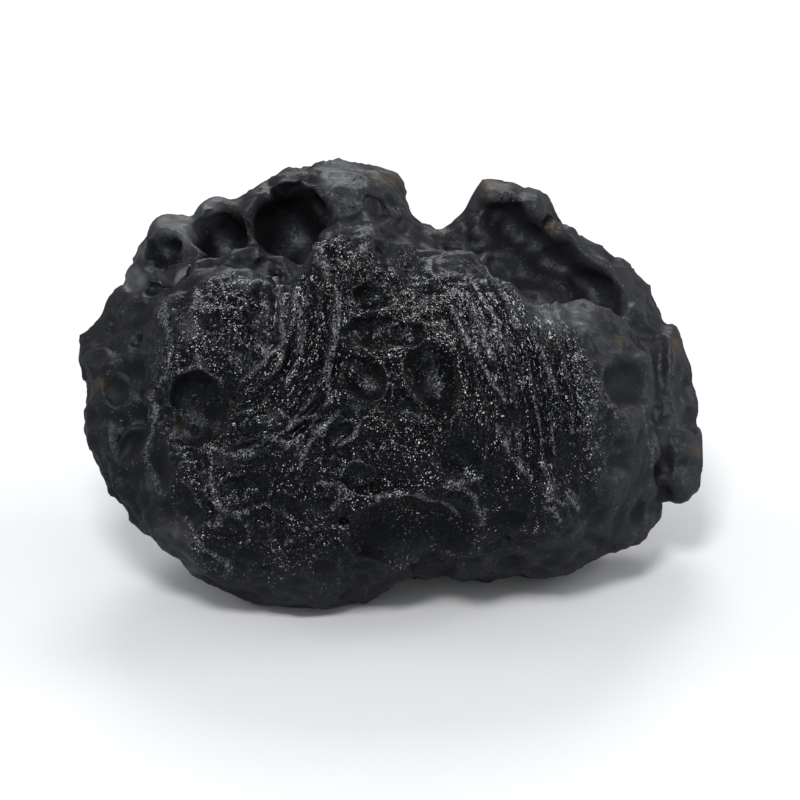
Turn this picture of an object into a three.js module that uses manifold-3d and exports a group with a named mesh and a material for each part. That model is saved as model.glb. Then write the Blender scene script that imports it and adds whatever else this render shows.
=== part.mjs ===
// Tektite: one stone of natural glass, a lump that splashed out molten and froze in flight.
//
// It is one solid. Its broad show face is a low dome with a few burst bubbles in it. Behind the
// dome's crest runs a valley, and behind that a ridge with a round notch in its top edge.
//
// Everything is in millimetres. The surface is described in the stone's face frame: u runs across
// the show face, v up it and w straight out of it. That face leans back from upright by LEAN, and
// the finished solid is turned into the part's frame, +Z up, with the show face towards -Y.
// The surface is where a distance-like field is zero: lobes are blended together, hollows, bubble
// pits and grooves are blended out of them, and a round ball of triangles is shrunk onto the result.

import * as THREE from "three";
import { mergeVertices } from "three/addons/utils/BufferGeometryUtils.js";
import Module from "manifold-3d";

// ---------------------------------------------------------------- driving dimensions

const LEAN = THREE.MathUtils.degToRad(25);
const FLOOR = -15.6;            // height of the resting plane before the origin is moved onto it
const MIDDLE = { x: 0.09, y: 4.46 };   // middle of the stone's box, seen from above, before the move
const GLASS = { color: 0x1d1e22, roughness: 0.38, metalness: 0.0 };

// The outline of the show face: u and v of points on a closed smooth curve, from the left bump
// clockwise over the ridge, the notch, the right flange and the two lower lobes.
const OUTLINE = [
  [-22.4, 1.6], [-22.2, 2.9], [-21.4, 3.7], [-20.6, 4.6], [-19.9, 6.4], [-19.0, 7.3],
  [-18.7, 8.4], [-18.3, 9.6], [-17.4, 10.9], [-16.4, 11.7], [-15.2, 11.95], [-14.2, 12.0],
  [-13.4, 12.8], [-12.5, 13.3], [-11.0, 13.1], [-10.2, 13.9], [-8.0, 15.3], [-6.2, 15.7],
  [-4.7, 16.2], [-3.0, 15.95], [-1.0, 15.75], [0.1, 15.4], [0.9, 14.7], [1.4, 13.0],
  [2.1, 11.8], [3.2, 11.25], [4.3, 11.25], [5.4, 11.8], [6.1, 12.8], [6.8, 14.65],
  [8.4, 14.5], [10.0, 14.0], [11.2, 13.5], [11.9, 12.6], [12.6, 11.6], [14.0, 10.5],
  [15.7, 9.5], [17.5, 8.2], [18.8, 6.7], [19.9, 4.4], [20.6, 4.1], [21.3, 2.9],
  [21.6, 0.9], [22.1, -1.3], [22.5, -4.1], [22.5, -6.2], [22.1, -7.7], [21.4, -8.6],
  [20.7, -8.6], [19.9, -8.05], [19.5, -9.1], [19.1, -10.6], [18.3, -11.5], [16.9, -12.1],
  [14.4, -13.1], [11.9, -13.85], [9.4, -14.05], [6.5, -14.0], [5.0, -13.9], [4.1, -13.55],
  [3.0, -13.9], [1.0, -14.6], [-1.1, -15.4], [-3.5, -15.95], [-6.0, -16.1], [-8.5, -15.85],
  [-11.0, -15.0], [-13.2, -14.0], [-15.3, -12.55], [-17.1, -11.0], [-19.0, -9.0], [-20.2, -7.5],
  [-21.2, -4.9], [-21.8, -1.6],
];
const OUTLINE_STEPS = 4;        // straight pieces between two outline points
const OUTLINE_CELL = 0.15;      // spacing of the table of distances to the outline
const OUTLINE_REACH = { u: 27, v: 21 };
const OUTLINE_PROUD = 0.22;     // makes up for what the blends round off the edge

// The rim is where the stone is widest. It runs back as it rises, and back towards the right.
const RIM = { at: -7.0, perV: -0.25, perU: -0.12 };
const RIM_ROUND = { fill: 4.5, fillHalf: 5.0, fillSoft: 2.0, trim: 9.0, trimSoft: 0.5, blend: 1.0 };

// Lobes: centre [u, v, w], radii, roll in degrees, width of the blend into the lobes before it.
const LOBES = [
  [[0.5, -3.0, -0.5], [17.3, 10.8, 9.2], 0, 2.5],       // show face, the low dome
  [[-1.8, 2.6, 0.6], [5.6, 8.3, 6.4], 6, 1.6],          // top of the dome
  [[-1.4, 6.2, -5.0], [3.9, 5.7, 6.0], 0, 1.6],         // bench from the dome's top to the ridge
  [[-11.3, 0.4, -1.2], [6.8, 7.9, 6.8], 0, 1.4],        // left shoulder
  [[6.2, 1.0, -0.3], [5.4, 8.8, 7.0], 10, 1.4],         // right shoulder
  [[4.3, 7.1, -2.4], [3.6, 3.1, 3.8], 0, 1.2],          // crest between the dome and that
  [[12.6, -1.6, -3.0], [6.4, 7.6, 7.6], -20, 1.4],      // right side
  [[-6.5, -7.6, -2.4], [12.5, 7.8, 7.6], 8, 2.0],       // lower left
  [[9.6, -7.3, -4.8], [9.6, 7.1, 7.8], 12, 2.0],        // lower right
  [[-5.5, 8.5, -11.0], [8.5, 7.6, 4.4], -4, 1.2],       // ridge, left of the notch
  [[11.0, 6.0, -11.5], [9.0, 8.6, 4.6], -28, 1.2],      // ridge, right of the notch
  [[-15.9, 9.3, -7.0], [2.9, 2.9, 3.0], 30, 1.0],       // small ear at the upper left
  [[-20.0, 1.4, -6.5], [2.8, 3.0, 3.0], 0, 1.2],        // bump at the left end
  [[20.4, -2.6, -9.0], [2.4, 7.0, 3.4], 8, 1.2],        // flange at the right end
  [[0.0, -1.5, -9.5], [18.0, 9.2, 7.5], 0, 2.5],        // back
  [[-4.0, -7.2, -12.0], [6.0, 4.8, 4.0], 0, 2.0],       // heel, hidden behind
];

// Hollows between the lobes: centre, radii, roll, blend.
const HOLLOWS = [
  [[-6.9, 11.6, -5.4], [3.1, 3.0, 3.6], 0, 1.0],        // deep one behind the crest
  [[-12.0, 10.6, -5.4], [2.0, 2.4, 2.9], 0, 1.0],       // smaller one beside it
  [[5.2, 12.0, -6.2], [4.4, 2.8, 3.2], -6, 1.4],        // saddle below the notch
  [[8.9, 11.3, -7.6], [3.0, 1.9, 2.4], -30, 1.2],       // smooth face right of the notch
  [[10.8, 9.1, -2.0], [4.7, 3.0, 7.3], -14, 0.9],       // valley behind the crest on the right
  [[13.6, 7.6, -5.6], [4.2, 2.4, 3.4], -38, 1.4],       // its lower end
  [[-15.6, 7.2, -4.4], [3.4, 1.4, 2.1], 38, 1.2],       // valley on the left
  [[-16.6, 9.8, -3.7], [1.5, 1.9, 1.6], -35, 0.6],      // dish in the ear
  [[-3.0, 12.7, -6.6], [3.0, 0.9, 1.5], -12, 0.9],      // under the ridge's ledge
];

// Pits, set into the surface straight behind [u, v]: half width, half height, depth, roll, blend.
const PITS = [
  [-13.5, -1.5, 2.4, 2.5, 1.9, 0, 0.3],                // big one on the left
  [-1.2, 6.2, 1.25, 1.1, 0.75, 0, 0.3],                 // group in the middle of the face
  [-0.3, 3.2, 2.4, 1.7, 1.0, 0, 0.35],
  [-1.9, 0.1, 1.5, 1.4, 1.1, 0, 0.3],
  [2.8, 0.0, 2.2, 3.0, 1.9, 12, 0.3],
  [4.9, -5.5, 1.5, 1.4, 1.1, 0, 0.3],
  [0.36, 10.5, 1.25, 1.1, 0.8, 0, 0.3],                 // on the crest
  [1.2, -11.2, 4.4, 3.0, 2.3, -6, 0.35],                // wide scoop at the lower edge
  [11.3, 4.8, 1.7, 1.1, 0.4, -10, 0.5],                 // right side
  [14.1, 7.9, 1.0, 0.9, 0.6, 0, 0.3],
  [5.2, 8.2, 1.2, 0.9, 0.45, -20, 0.3],
  [16.9, 0.1, 1.9, 1.8, 0.6, 0, 0.5],
  [18.0, -9.6, 1.1, 1.2, 0.7, 0, 0.4],
  [11.5, -12.6, 1.8, 0.9, 0.45, 10, 0.4],
  [7.6, -9.4, 1.3, 0.9, 0.4, 20, 0.4],
  [8.6, -3.0, 1.0, 0.9, 0.35, 0, 0.4],
  [-4.6, -13.2, 1.0, 0.9, 0.45, 0, 0.3],                // row along the lower edge
  [-2.0, -13.1, 1.0, 0.9, 0.45, 0, 0.3],
  [0.2, -12.3, 1.3, 1.0, 0.45, 0, 0.3],
  [-9.5, -12.3, 1.5, 0.8, 0.5, -8, 0.4],
  [-16.1, -6.2, 1.2, 1.9, 0.7, 0, 0.5],                 // left side
  [-18.6, -4.7, 0.9, 1.8, 0.8, -40, 0.5],
  [-19.5, -0.3, 1.1, 1.2, 0.5, 0, 0.5],
  [-13.8, -9.1, 1.1, 1.7, 0.45, 10, 0.5],
  [-18.2, 4.6, 1.3, 1.2, 0.5, 0, 0.5],
  [-14.5, 7.0, 1.1, 1.0, 0.6, 0, 0.4],
  [-11.0, -7.6, 1.2, 1.0, 0.5, 0, 0.4],                 // mottled lower left of the face
  [-7.2, -8.5, 1.0, 0.9, 0.45, 0, 0.4],
  [-4.7, -8.8, 1.1, 1.0, 0.5, 0, 0.4],
  [-2.6, -6.7, 1.0, 0.9, 0.45, 0, 0.4],
  [-8.6, 3.0, 1.0, 1.3, 0.4, 20, 0.4],
  [-12.6, 4.4, 1.0, 0.9, 0.45, 0, 0.4],
];

// Ridges and grooves, laid on the surface straight behind their points: radius, depth of the
// centre line below the surface, points [u, v].
const RIDGES = [
  [0.8, 0.55, [[-16.1, 5.7], [-15.7, 2.4], [-16.9, -1.1], [-17.4, -4.9], [-16.6, -8.0]]],
  [0.8, 0.55, [[-14.6, -9.75], [-13.5, -11.3], [-11.5, -13.6]]],
  [0.8, 0.55, [[-13.0, -4.5], [-12.7, -6.7], [-12.0, -8.75]]],
  [0.8, 0.45, [[-5.0, 9.7], [-4.6, 8.7], [-3.9, 7.0]]],
  [0.8, 0.55, [[4.4, -7.4], [6.3, -8.6], [6.8, -10.6]]],
  [0.8, 0.5, [[18.2, -1.8], [19.0, -4.1], [18.9, -5.9]]],
];
const RIDGE_BLEND = 0.9;
const GROOVES = [
  [0.6, 0.0, [[-4.0, 9.7], [-3.3, 7.8], [-3.1, 6.0]]],
  [0.9, -0.3, [[19.3, 3.4], [19.7, 0.0], [19.8, -4.0], [19.6, -7.0]]],
];
const GROOVE_BLEND = 0.6;

// Pits spread over the sides, the back and the underside, by a repeatable sequence.
const SPREAD = {
  seed: 20177, count: 130, centre: [0, -1, -6], smallest: 1.0, largest: 2.8, bias: 1.6,
  shallowest: 0.40, depthRange: 0.25, wobble: 1.2, rise: 0.12, blend: 0.3, clearance: 0.6,
  faceEdge: 1.5,
};

// Low swells that keep the lobes from being plain ellipsoids: [height, [waves]], where a wave
// is [per u, per v, per w, phase] and the waves of one swell are multiplied together.
const SWELLS = [
  [0.26, [[0.83, 0.31, 0, 1.3], [0, 0.71, -0.42, 0.4]]],
  [0.20, [[1.37, 0, -0.64, 2.1], [0, 1.21, 0.77, 1.1], [0.58, 0, 0.93, 0]]],
];
const EDGE_SWELL = 1.6;         // how much more the swells move the walls away from the rim

// How a point walks in to the surface: its steps, the share of the distance that each step
// takes, and the longest step.
const MARCH = { steps: 80, share: 0.7, longest: 5 };
const SLOPE_STEP = 0.05;        // reach of the differences that give the surface's slope

// The ball of triangles that is shrunk onto the surface.
const CROWD = { strength: 1.1, reach: 1.2 };
const BALL = { detail: 21, start: 32, relaxSteps: 60, settleSteps: 6, longestMove: 0.5 };
const SIDEWAYS = 0.5;           // share of the way to its neighbours' middle that a point moves
const WELD = 1e-5;              // points of the ball closer than this are one

// The block that is cut away from under the resting plane.
const GROUND = { side: 100, depth: 10 };

// ---------------------------------------------------------------- blends and simple forms

function smoothMin(a, b, width) {
  const overlap = Math.max(width - Math.abs(a - b), 0) / width;
  return Math.min(a, b) - overlap * overlap * width / 4;
}

function smoothMax(a, b, width) {
  return -smoothMin(-a, -b, width);
}

function makeEllipsoid(centre, radii, rollDegrees, blend) {
  const roll = THREE.MathUtils.degToRad(rollDegrees);
  return {
    centre, radii, blend, cos: Math.cos(roll), sin: Math.sin(roll), reach: Math.max(...radii),
  };
}

// Close to the true distance near the surface, which is all that the blends need.
function ellipsoidDistance(p, form) {
  const du = p[0] - form.centre[0];
  const dv = p[1] - form.centre[1];
  const along = (du * form.cos + dv * form.sin) / form.radii[0];
  const across = (dv * form.cos - du * form.sin) / form.radii[1];
  const out = (p[2] - form.centre[2]) / form.radii[2];
  const level = Math.hypot(along, across, out);
  const slope = Math.hypot(along / form.radii[0], across / form.radii[1], out / form.radii[2]);
  return slope > 0 ? level * (level - 1) / slope : -form.reach;
}

function segmentDistance(p, segment) {
  const { from, to, radius } = segment;
  const e = [to[0] - from[0], to[1] - from[1], to[2] - from[2]];
  const d = [p[0] - from[0], p[1] - from[1], p[2] - from[2]];
  const along = (d[0] * e[0] + d[1] * e[1] + d[2] * e[2]) / (e[0] ** 2 + e[1] ** 2 + e[2] ** 2);
  const t = THREE.MathUtils.clamp(along, 0, 1);
  return Math.hypot(d[0] - e[0] * t, d[1] - e[1] * t, d[2] - e[2] * t) - radius;
}

// ---------------------------------------------------------------- outline

function tabulateOutline() {
  const corners = OUTLINE.map(([u, v]) => new THREE.Vector3(u, v, 0));
  const curve = new THREE.CatmullRomCurve3(corners, true, "catmullrom", 0.5);
  const ring = curve.getPoints(OUTLINE.length * OUTLINE_STEPS);
  const columns = Math.round(2 * OUTLINE_REACH.u / OUTLINE_CELL) + 1;
  const rows = Math.round(2 * OUTLINE_REACH.v / OUTLINE_CELL) + 1;
  const distances = new Float64Array(columns * rows);
  for (let row = 0; row < rows; row++) {
    for (let column = 0; column < columns; column++) {
      const u = column * OUTLINE_CELL - OUTLINE_REACH.u;
      const v = row * OUTLINE_CELL - OUTLINE_REACH.v;
      let nearest = Infinity;
      let inside = false;
      for (let i = 0; i + 1 < ring.length; i++) {
        const a = ring[i];
        const b = ring[i + 1];
        const eu = b.x - a.x;
        const ev = b.y - a.y;
        const along = ((u - a.x) * eu + (v - a.y) * ev) / (eu * eu + ev * ev);
        const t = THREE.MathUtils.clamp(along, 0, 1);
        nearest = Math.min(nearest, Math.hypot(u - a.x - eu * t, v - a.y - ev * t));
        if ((a.y <= v) !== (b.y <= v) && u < a.x + (v - a.y) * eu / ev) {
          inside = !inside;
        }
      }
      distances[row * columns + column] = inside ? -nearest : nearest;
    }
  }
  return { columns, rows, distances };
}

const outlineTable = tabulateOutline();

function outlineDistance(u, v) {
  const { columns, rows, distances } = outlineTable;
  const x = (u + OUTLINE_REACH.u) / OUTLINE_CELL;
  const y = (v + OUTLINE_REACH.v) / OUTLINE_CELL;
  const cx = THREE.MathUtils.clamp(x, 0, columns - 1.001);
  const cy = THREE.MathUtils.clamp(y, 0, rows - 1.001);
  const column = Math.floor(cx);
  const row = Math.floor(cy);
  const fx = cx - column;
  const fy = cy - row;
  const at = row * columns + column;
  const lower = distances[at] * (1 - fx) + distances[at + 1] * fx;
  const upper = distances[at + columns] * (1 - fx) + distances[at + columns + 1] * fx;
  return lower * (1 - fy) + upper * fy + Math.hypot(x - cx, y - cy) * OUTLINE_CELL;
}

// ---------------------------------------------------------------- the bare body

const lobes = LOBES.map((row) => makeEllipsoid(...row));
const hollows = HOLLOWS.map((row) => makeEllipsoid(...row));

function swellHeight(p) {
  let sum = 0;
  for (const [height, waves] of SWELLS) {
    let product = height;
    for (const [perU, perV, perW, phase] of waves) {
      product *= Math.sin(perU * p[0] + perV * p[1] + perW * p[2] + phase);
    }
    sum += product;
  }
  return sum;
}

function rimBehind(u, v) {
  return RIM.at + RIM.perU * u + RIM.perV * v;
}

function bodyField(p) {
  let d = Infinity;
  for (const lobe of lobes) {
    const next = ellipsoidDistance(p, lobe);
    d = d === Infinity ? next : smoothMin(d, next, lobe.blend);
  }
  const swell = swellHeight(p);
  d += swell;

  // A pillow fills the lobes out to the outline, and a rounder one trims them back to it.
  const behind = p[2] - rimBehind(p[0], p[1]);
  const away = 1 - Math.exp(-behind * behind / RIM_ROUND.fill);
  const outline = outlineDistance(p[0], p[1]) - OUTLINE_PROUD;
  const fill = outline + Math.hypot(behind, RIM_ROUND.fill) - RIM_ROUND.fill;
  const band = smoothMax(fill, Math.abs(behind) - RIM_ROUND.fillHalf, RIM_ROUND.fillSoft);
  d = smoothMin(d, band, RIM_ROUND.blend);
  const trim = outline + Math.hypot(behind, RIM_ROUND.trim) - RIM_ROUND.trim;
  d = smoothMax(d, trim + EDGE_SWELL * swell * away, RIM_ROUND.trimSoft);

  for (const hollow of hollows) {
    d = smoothMax(d, -ellipsoidDistance(p, hollow), hollow.blend);
  }
  return d;
}

// ---------------------------------------------------------------- features laid on the body

function slope(field, p) {
  return [0, 1, 2].map((axis) => {
    const ahead = [...p];
    const back = [...p];
    ahead[axis] += SLOPE_STEP;
    back[axis] -= SLOPE_STEP;
    return (field(ahead) - field(back)) / (2 * SLOPE_STEP);
  });
}

function unit(g) {
  const length = Math.hypot(...g) || 1;
  return g.map((value) => value / length);
}

// Walks from a point outside towards the body, along a direction, until it meets the surface.
function marchTo(field, start, direction) {
  const p = [...start];
  for (let i = 0; i < MARCH.steps; i++) {
    const step = THREE.MathUtils.clamp(field(p) * MARCH.share, 0, MARCH.longest);
    for (let axis = 0; axis < 3; axis++) {
      p[axis] += direction[axis] * step;
    }
  }
  return p;
}

function surfaceBehind(u, v) {
  return marchTo(bodyField, [u, v, BALL.start], [0, 0, -1]);
}

function distanceBetween(p, q) {
  return Math.hypot(p[0] - q[0], p[1] - q[1], p[2] - q[2]);
}

function shift(p, direction, distance) {
  return p.map((value, axis) => value + direction[axis] * distance);
}

// A pit is the cap of an ellipsoid: its centre stands off the surface so that the cap has the
// asked width and depth.
function makePit(at, halfWidth, halfHeight, depth, roll, blend) {
  const half = (halfWidth + halfHeight) / 2;
  const ball = (half * half + depth * depth) / (2 * depth);
  const centre = shift(at, unit(slope(bodyField, at)), ball - depth);
  return makeEllipsoid(centre, [halfWidth * ball / half, halfHeight * ball / half, ball], roll, blend);
}

function makeNamedPits() {
  return PITS.map(([u, v, halfWidth, halfHeight, depth, roll, blend]) => {
    const at = surfaceBehind(u, v);
    return { at, size: Math.max(halfWidth, halfHeight),
      form: makePit(at, halfWidth, halfHeight, depth, roll, blend) };
  });
}

// The Park-Miller sequence: the same numbers from 0 to 1 every time.
const PARK_MILLER = { factor: 16807, modulus: 2147483647 };

function makeSequence(seed) {
  let state = seed;
  return () => {
    state = (state * PARK_MILLER.factor) % PARK_MILLER.modulus;
    return state / PARK_MILLER.modulus;
  };
}

// Directions on a golden spiral, shaken a little, each followed in to the surface.
function makeSpreadPits(named) {
  const next = makeSequence(SPREAD.seed);
  const golden = Math.PI * (3 - Math.sqrt(5));
  const shake = (width) => width * (next() - 1 / 2);
  const forms = [];
  for (let i = 0; i < SPREAD.count; i++) {
    const turn = golden * i + shake(SPREAD.wobble);
    const level = 1 - (2 * i + 1) / SPREAD.count + shake(SPREAD.rise);
    const height = THREE.MathUtils.clamp(level, -1, 1);
    const ring = Math.sqrt(1 - height * height);
    const outward = [ring * Math.cos(turn), ring * Math.sin(turn), height];
    const size = SPREAD.smallest * (SPREAD.largest / SPREAD.smallest) ** (next() ** SPREAD.bias);
    const depth = size * (SPREAD.shallowest + SPREAD.depthRange * next());
    const start = shift(SPREAD.centre, outward, BALL.start);
    const at = marchTo(bodyField, start, outward.map((value) => -value));
    const onFace = at[2] > rimBehind(at[0], at[1]) + SPREAD.faceEdge;
    const crowded = named.some((pit) => (
      distanceBetween(at, pit.at) < pit.size + size * SPREAD.clearance
    ));
    if (!onFace && !crowded) {
      forms.push(makePit(at, size, size, depth, 0, SPREAD.blend));
    }
  }
  return forms;
}

function makeSegments(rows) {
  return rows.flatMap(([radius, sunk, points]) => {
    const line = points.map(([u, v]) => {
      const at = surfaceBehind(u, v);
      return shift(at, unit(slope(bodyField, at)), -sunk);
    });
    return line.slice(1).map((to, i) => ({ from: line[i], to, radius }));
  });
}

const namedPits = makeNamedPits();
const pits = [...namedPits.map(({ form }) => form), ...makeSpreadPits(namedPits)];
const ridges = makeSegments(RIDGES);
const grooves = makeSegments(GROOVES);

function stoneField(p) {
  let d = bodyField(p);
  for (const ridge of ridges) {
    d = smoothMin(d, segmentDistance(p, ridge), RIDGE_BLEND);
  }
  for (const groove of grooves) {
    d = smoothMax(d, -segmentDistance(p, groove), GROOVE_BLEND);
  }
  for (const pit of pits) {
    if (distanceBetween(p, pit.centre) < pit.reach + pit.blend) {
      d = smoothMax(d, -ellipsoidDistance(p, pit), pit.blend);
    }
  }
  return d;
}

// ---------------------------------------------------------------- triangles

function weldedBall() {
  const ball = new THREE.IcosahedronGeometry(1, BALL.detail);
  ball.deleteAttribute("normal");
  ball.deleteAttribute("uv");
  return mergeVertices(ball, WELD);
}

function findNeighbours(index, count) {
  const around = Array.from({ length: count }, () => new Set());
  for (let i = 0; i < index.count; i += 3) {
    const [a, b, c] = [index.getX(i), index.getX(i + 1), index.getX(i + 2)];
    around[a].add(b).add(c);
    around[b].add(a).add(c);
    around[c].add(a).add(b);
  }
  return around.map((set) => [...set]);
}

// Points crowd together in the named pits and hollows and on the ridges, where the shape is finer.
function pullOf(p) {
  let nearest = CROWD.reach;
  for (const { form } of namedPits) {
    nearest = Math.min(nearest, Math.abs(ellipsoidDistance(p, form)));
  }
  for (const hollow of hollows) {
    nearest = Math.min(nearest, Math.abs(ellipsoidDistance(p, hollow)));
  }
  for (const segment of [...ridges, ...grooves]) {
    nearest = Math.min(nearest, Math.abs(segmentDistance(p, segment)));
  }
  return 1 + CROWD.strength * (1 - nearest / CROWD.reach);
}

// One step of each point: along the slope onto the surface, and sideways towards the middle of
// its neighbours, so that the triangles stay even.
function moveOnce(points, around, sideways) {
  const pulls = points.map(pullOf);
  const normals = points.map((p) => {
    const g = slope(stoneField, p);
    const steep = g[0] ** 2 + g[1] ** 2 + g[2] ** 2 || 1;
    const level = stoneField(p) / Math.sqrt(steep);
    const move = THREE.MathUtils.clamp(level, -BALL.longestMove, BALL.longestMove);
    const n = unit(g);
    for (let axis = 0; axis < 3; axis++) {
      p[axis] -= n[axis] * move;
    }
    return n;
  });
  if (sideways === 0) {
    return points;
  }
  return points.map((p, i) => {
    const total = around[i].reduce((sum, other) => sum + pulls[other], 0);
    const pull = [0, 1, 2].map((axis) => (
      around[i].reduce((sum, other) => sum + pulls[other] * (points[other][axis] - p[axis]), 0) / total
    ));
    const n = normals[i];
    const along = pull[0] * n[0] + pull[1] * n[1] + pull[2] * n[2];
    return p.map((value, axis) => value + sideways * (pull[axis] - along * n[axis]));
  });
}

function shrinkOntoStone() {
  const ball = weldedBall();
  const position = ball.getAttribute("position");
  const around = findNeighbours(ball.index, position.count);
  let points = around.map((_, i) => {
    const outward = [position.getX(i), position.getY(i), position.getZ(i)];
    const start = shift(SPREAD.centre, outward, BALL.start);
    return marchTo(stoneField, start, outward.map((value) => -value));
  });
  for (let i = 0; i < BALL.relaxSteps; i++) {
    points = moveOnce(points, around, SIDEWAYS);
  }
  for (let i = 0; i < BALL.settleSteps; i++) {
    points = moveOnce(points, around, 0);
  }
  points.forEach((p, i) => position.setXYZ(i, ...p));
  return ball;
}

// ---------------------------------------------------------------- into the part's frame

// u, v, w to x, y, z: the show face turns towards -Y and leans back.
function standUp(geometry) {
  const across = new THREE.Vector3(1, 0, 0);
  const up = new THREE.Vector3(0, Math.sin(LEAN), Math.cos(LEAN));
  const out = new THREE.Vector3(0, -Math.cos(LEAN), Math.sin(LEAN));
  geometry.applyMatrix4(new THREE.Matrix4().makeBasis(across, up, out));
  geometry.translate(-MIDDLE.x, -MIDDLE.y, -FLOOR);
}

const wasm = await Module();
wasm.setup();

function toManifold(geometry) {
  return new wasm.Manifold(new wasm.Mesh({
    numProp: 3,
    vertProperties: new Float32Array(geometry.getAttribute("position").array),
    triVerts: new Uint32Array(geometry.index.array),
  }));
}

function toGeometry(manifold) {
  const { vertProperties, triVerts } = manifold.getMesh();
  const geometry = new THREE.BufferGeometry();
  geometry.setAttribute("position", new THREE.BufferAttribute(vertProperties, 3));
  geometry.setIndex(new THREE.BufferAttribute(triVerts, 1));
  geometry.computeVertexNormals();
  return geometry;
}

// The stone touches the ground on small facets: everything below the resting plane comes off.
function cutFoot(geometry) {
  const ground = new THREE.BoxGeometry(GROUND.side, GROUND.side, GROUND.depth);
  ground.translate(0, 0, -GROUND.depth / 2);
  ground.deleteAttribute("normal");
  ground.deleteAttribute("uv");
  return toGeometry(toManifold(geometry).subtract(toManifold(mergeVertices(ground))));
}

const stone = shrinkOntoStone();
standUp(stone);

const tektite = new THREE.Mesh(cutFoot(stone), new THREE.MeshStandardMaterial(GLASS));
tektite.name = "tektite";

const part = new THREE.Group();
part.add(tektite);

export default part;
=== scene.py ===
"""Dresses the tektite: the fine surface of its black glass, the table it lies on, the light and the view.

The stone is worked out in millimetres in its own face frame: u runs across the show face, v up it and w
straight out of it. That face leans back from upright by LEAN, and the last step stands the stone up in the
part's frame: metres, +Z up, show face towards -Y.
"""

import logging
import math
from dataclasses import dataclass, field
from enum import Enum

import bpy
import numpy as np
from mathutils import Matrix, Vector


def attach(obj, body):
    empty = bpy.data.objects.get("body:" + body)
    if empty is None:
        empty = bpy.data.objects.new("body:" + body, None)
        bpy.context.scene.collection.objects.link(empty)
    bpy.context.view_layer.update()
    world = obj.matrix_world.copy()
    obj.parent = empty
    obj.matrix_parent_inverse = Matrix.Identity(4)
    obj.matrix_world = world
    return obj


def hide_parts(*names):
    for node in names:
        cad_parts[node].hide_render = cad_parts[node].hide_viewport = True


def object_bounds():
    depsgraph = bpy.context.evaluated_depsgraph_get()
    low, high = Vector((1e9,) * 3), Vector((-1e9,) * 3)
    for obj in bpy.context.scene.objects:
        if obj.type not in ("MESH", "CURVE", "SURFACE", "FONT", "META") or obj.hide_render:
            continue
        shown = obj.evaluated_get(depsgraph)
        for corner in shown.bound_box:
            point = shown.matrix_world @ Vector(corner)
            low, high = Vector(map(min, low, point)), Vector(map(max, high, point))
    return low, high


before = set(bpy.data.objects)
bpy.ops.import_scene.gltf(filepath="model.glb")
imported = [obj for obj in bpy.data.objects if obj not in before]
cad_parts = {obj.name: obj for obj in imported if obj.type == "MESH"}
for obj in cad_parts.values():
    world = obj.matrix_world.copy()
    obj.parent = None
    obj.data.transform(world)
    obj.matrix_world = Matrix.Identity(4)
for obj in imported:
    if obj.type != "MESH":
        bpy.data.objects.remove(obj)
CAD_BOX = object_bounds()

Array = np.ndarray
Spot = tuple[float, float]
Point = tuple[float, float, float]
Colour = tuple[float, float, float]
Range = tuple[float, float, float, float]    # a change of range: from low, from high, to low, to high
Wave = tuple[float, float, float, float]     # radians to a millimetre along u, v and w, and its start

LOG = logging.getLogger("tektite")
MM = 0.001

LEAN = math.radians(25.0)
FLOOR = -15.6                    # height of the resting plane before the origin is moved onto it
MIDDLE: Spot = (0.09, 4.46)      # middle of the stone's box, seen from above, before the move
CORE: Point = (0.0, -1.0, -6.0)  # a point deep inside, from which the stone is seen all round
START_AWAY = 32.0                # well outside the stone: points are walked in from here
LONGEST_STEP = 5.0               # the longest step on that walk
LEAST_LENGTH = 1e-12             # keeps a length that is divided by from being nought
LEAST_SLOPE = 1e-9               # the same for a slope
MID_GREY: Point = (0.5, 0.5, 0.5)    # the middle of a noise's colours

# The outline of the show face, from the left bump clockwise over the ridge, the notch, the right
# flange and the two lower lobes.
OUTLINE: tuple[Spot, ...] = (
    (-22.4, 1.6), (-22.2, 2.9), (-21.4, 3.7), (-20.6, 4.6), (-19.9, 6.4), (-19.0, 7.3),
    (-18.7, 8.4), (-18.3, 9.6), (-17.4, 10.9), (-16.4, 11.7), (-15.2, 11.95), (-14.2, 12.0),
    (-13.4, 12.8), (-12.5, 13.3), (-11.0, 13.1), (-10.2, 13.9), (-8.0, 15.3), (-6.2, 15.7),
    (-4.7, 16.2), (-3.0, 15.95), (-1.0, 15.75), (0.1, 15.4), (0.9, 14.7), (1.4, 13.0),
    (2.1, 11.8), (3.2, 11.25), (4.3, 11.25), (5.4, 11.8), (6.1, 12.8), (6.8, 14.65),
    (8.4, 14.5), (10.0, 14.0), (11.2, 13.5), (11.9, 12.6), (12.6, 11.6), (14.0, 10.5),
    (15.7, 9.5), (17.5, 8.2), (18.8, 6.7), (19.9, 4.4), (20.6, 4.1), (21.3, 2.9),
    (21.6, 0.9), (22.1, -1.3), (22.5, -4.1), (22.5, -6.2), (22.1, -7.7), (21.4, -8.6),
    (20.7, -8.6), (19.9, -8.05), (19.5, -9.1), (19.1, -10.6), (18.3, -11.5), (16.9, -12.1),
    (14.4, -13.1), (11.9, -13.85), (9.4, -14.05), (6.5, -14.0), (5.0, -13.9), (4.1, -13.55),
    (3.0, -13.9), (1.0, -14.6), (-1.1, -15.4), (-3.5, -15.95), (-6.0, -16.1), (-8.5, -15.85),
    (-11.0, -15.0), (-13.2, -14.0), (-15.3, -12.55), (-17.1, -11.0), (-19.0, -9.0), (-20.2, -7.5),
    (-21.2, -4.9), (-21.8, -1.6),
)

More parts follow.
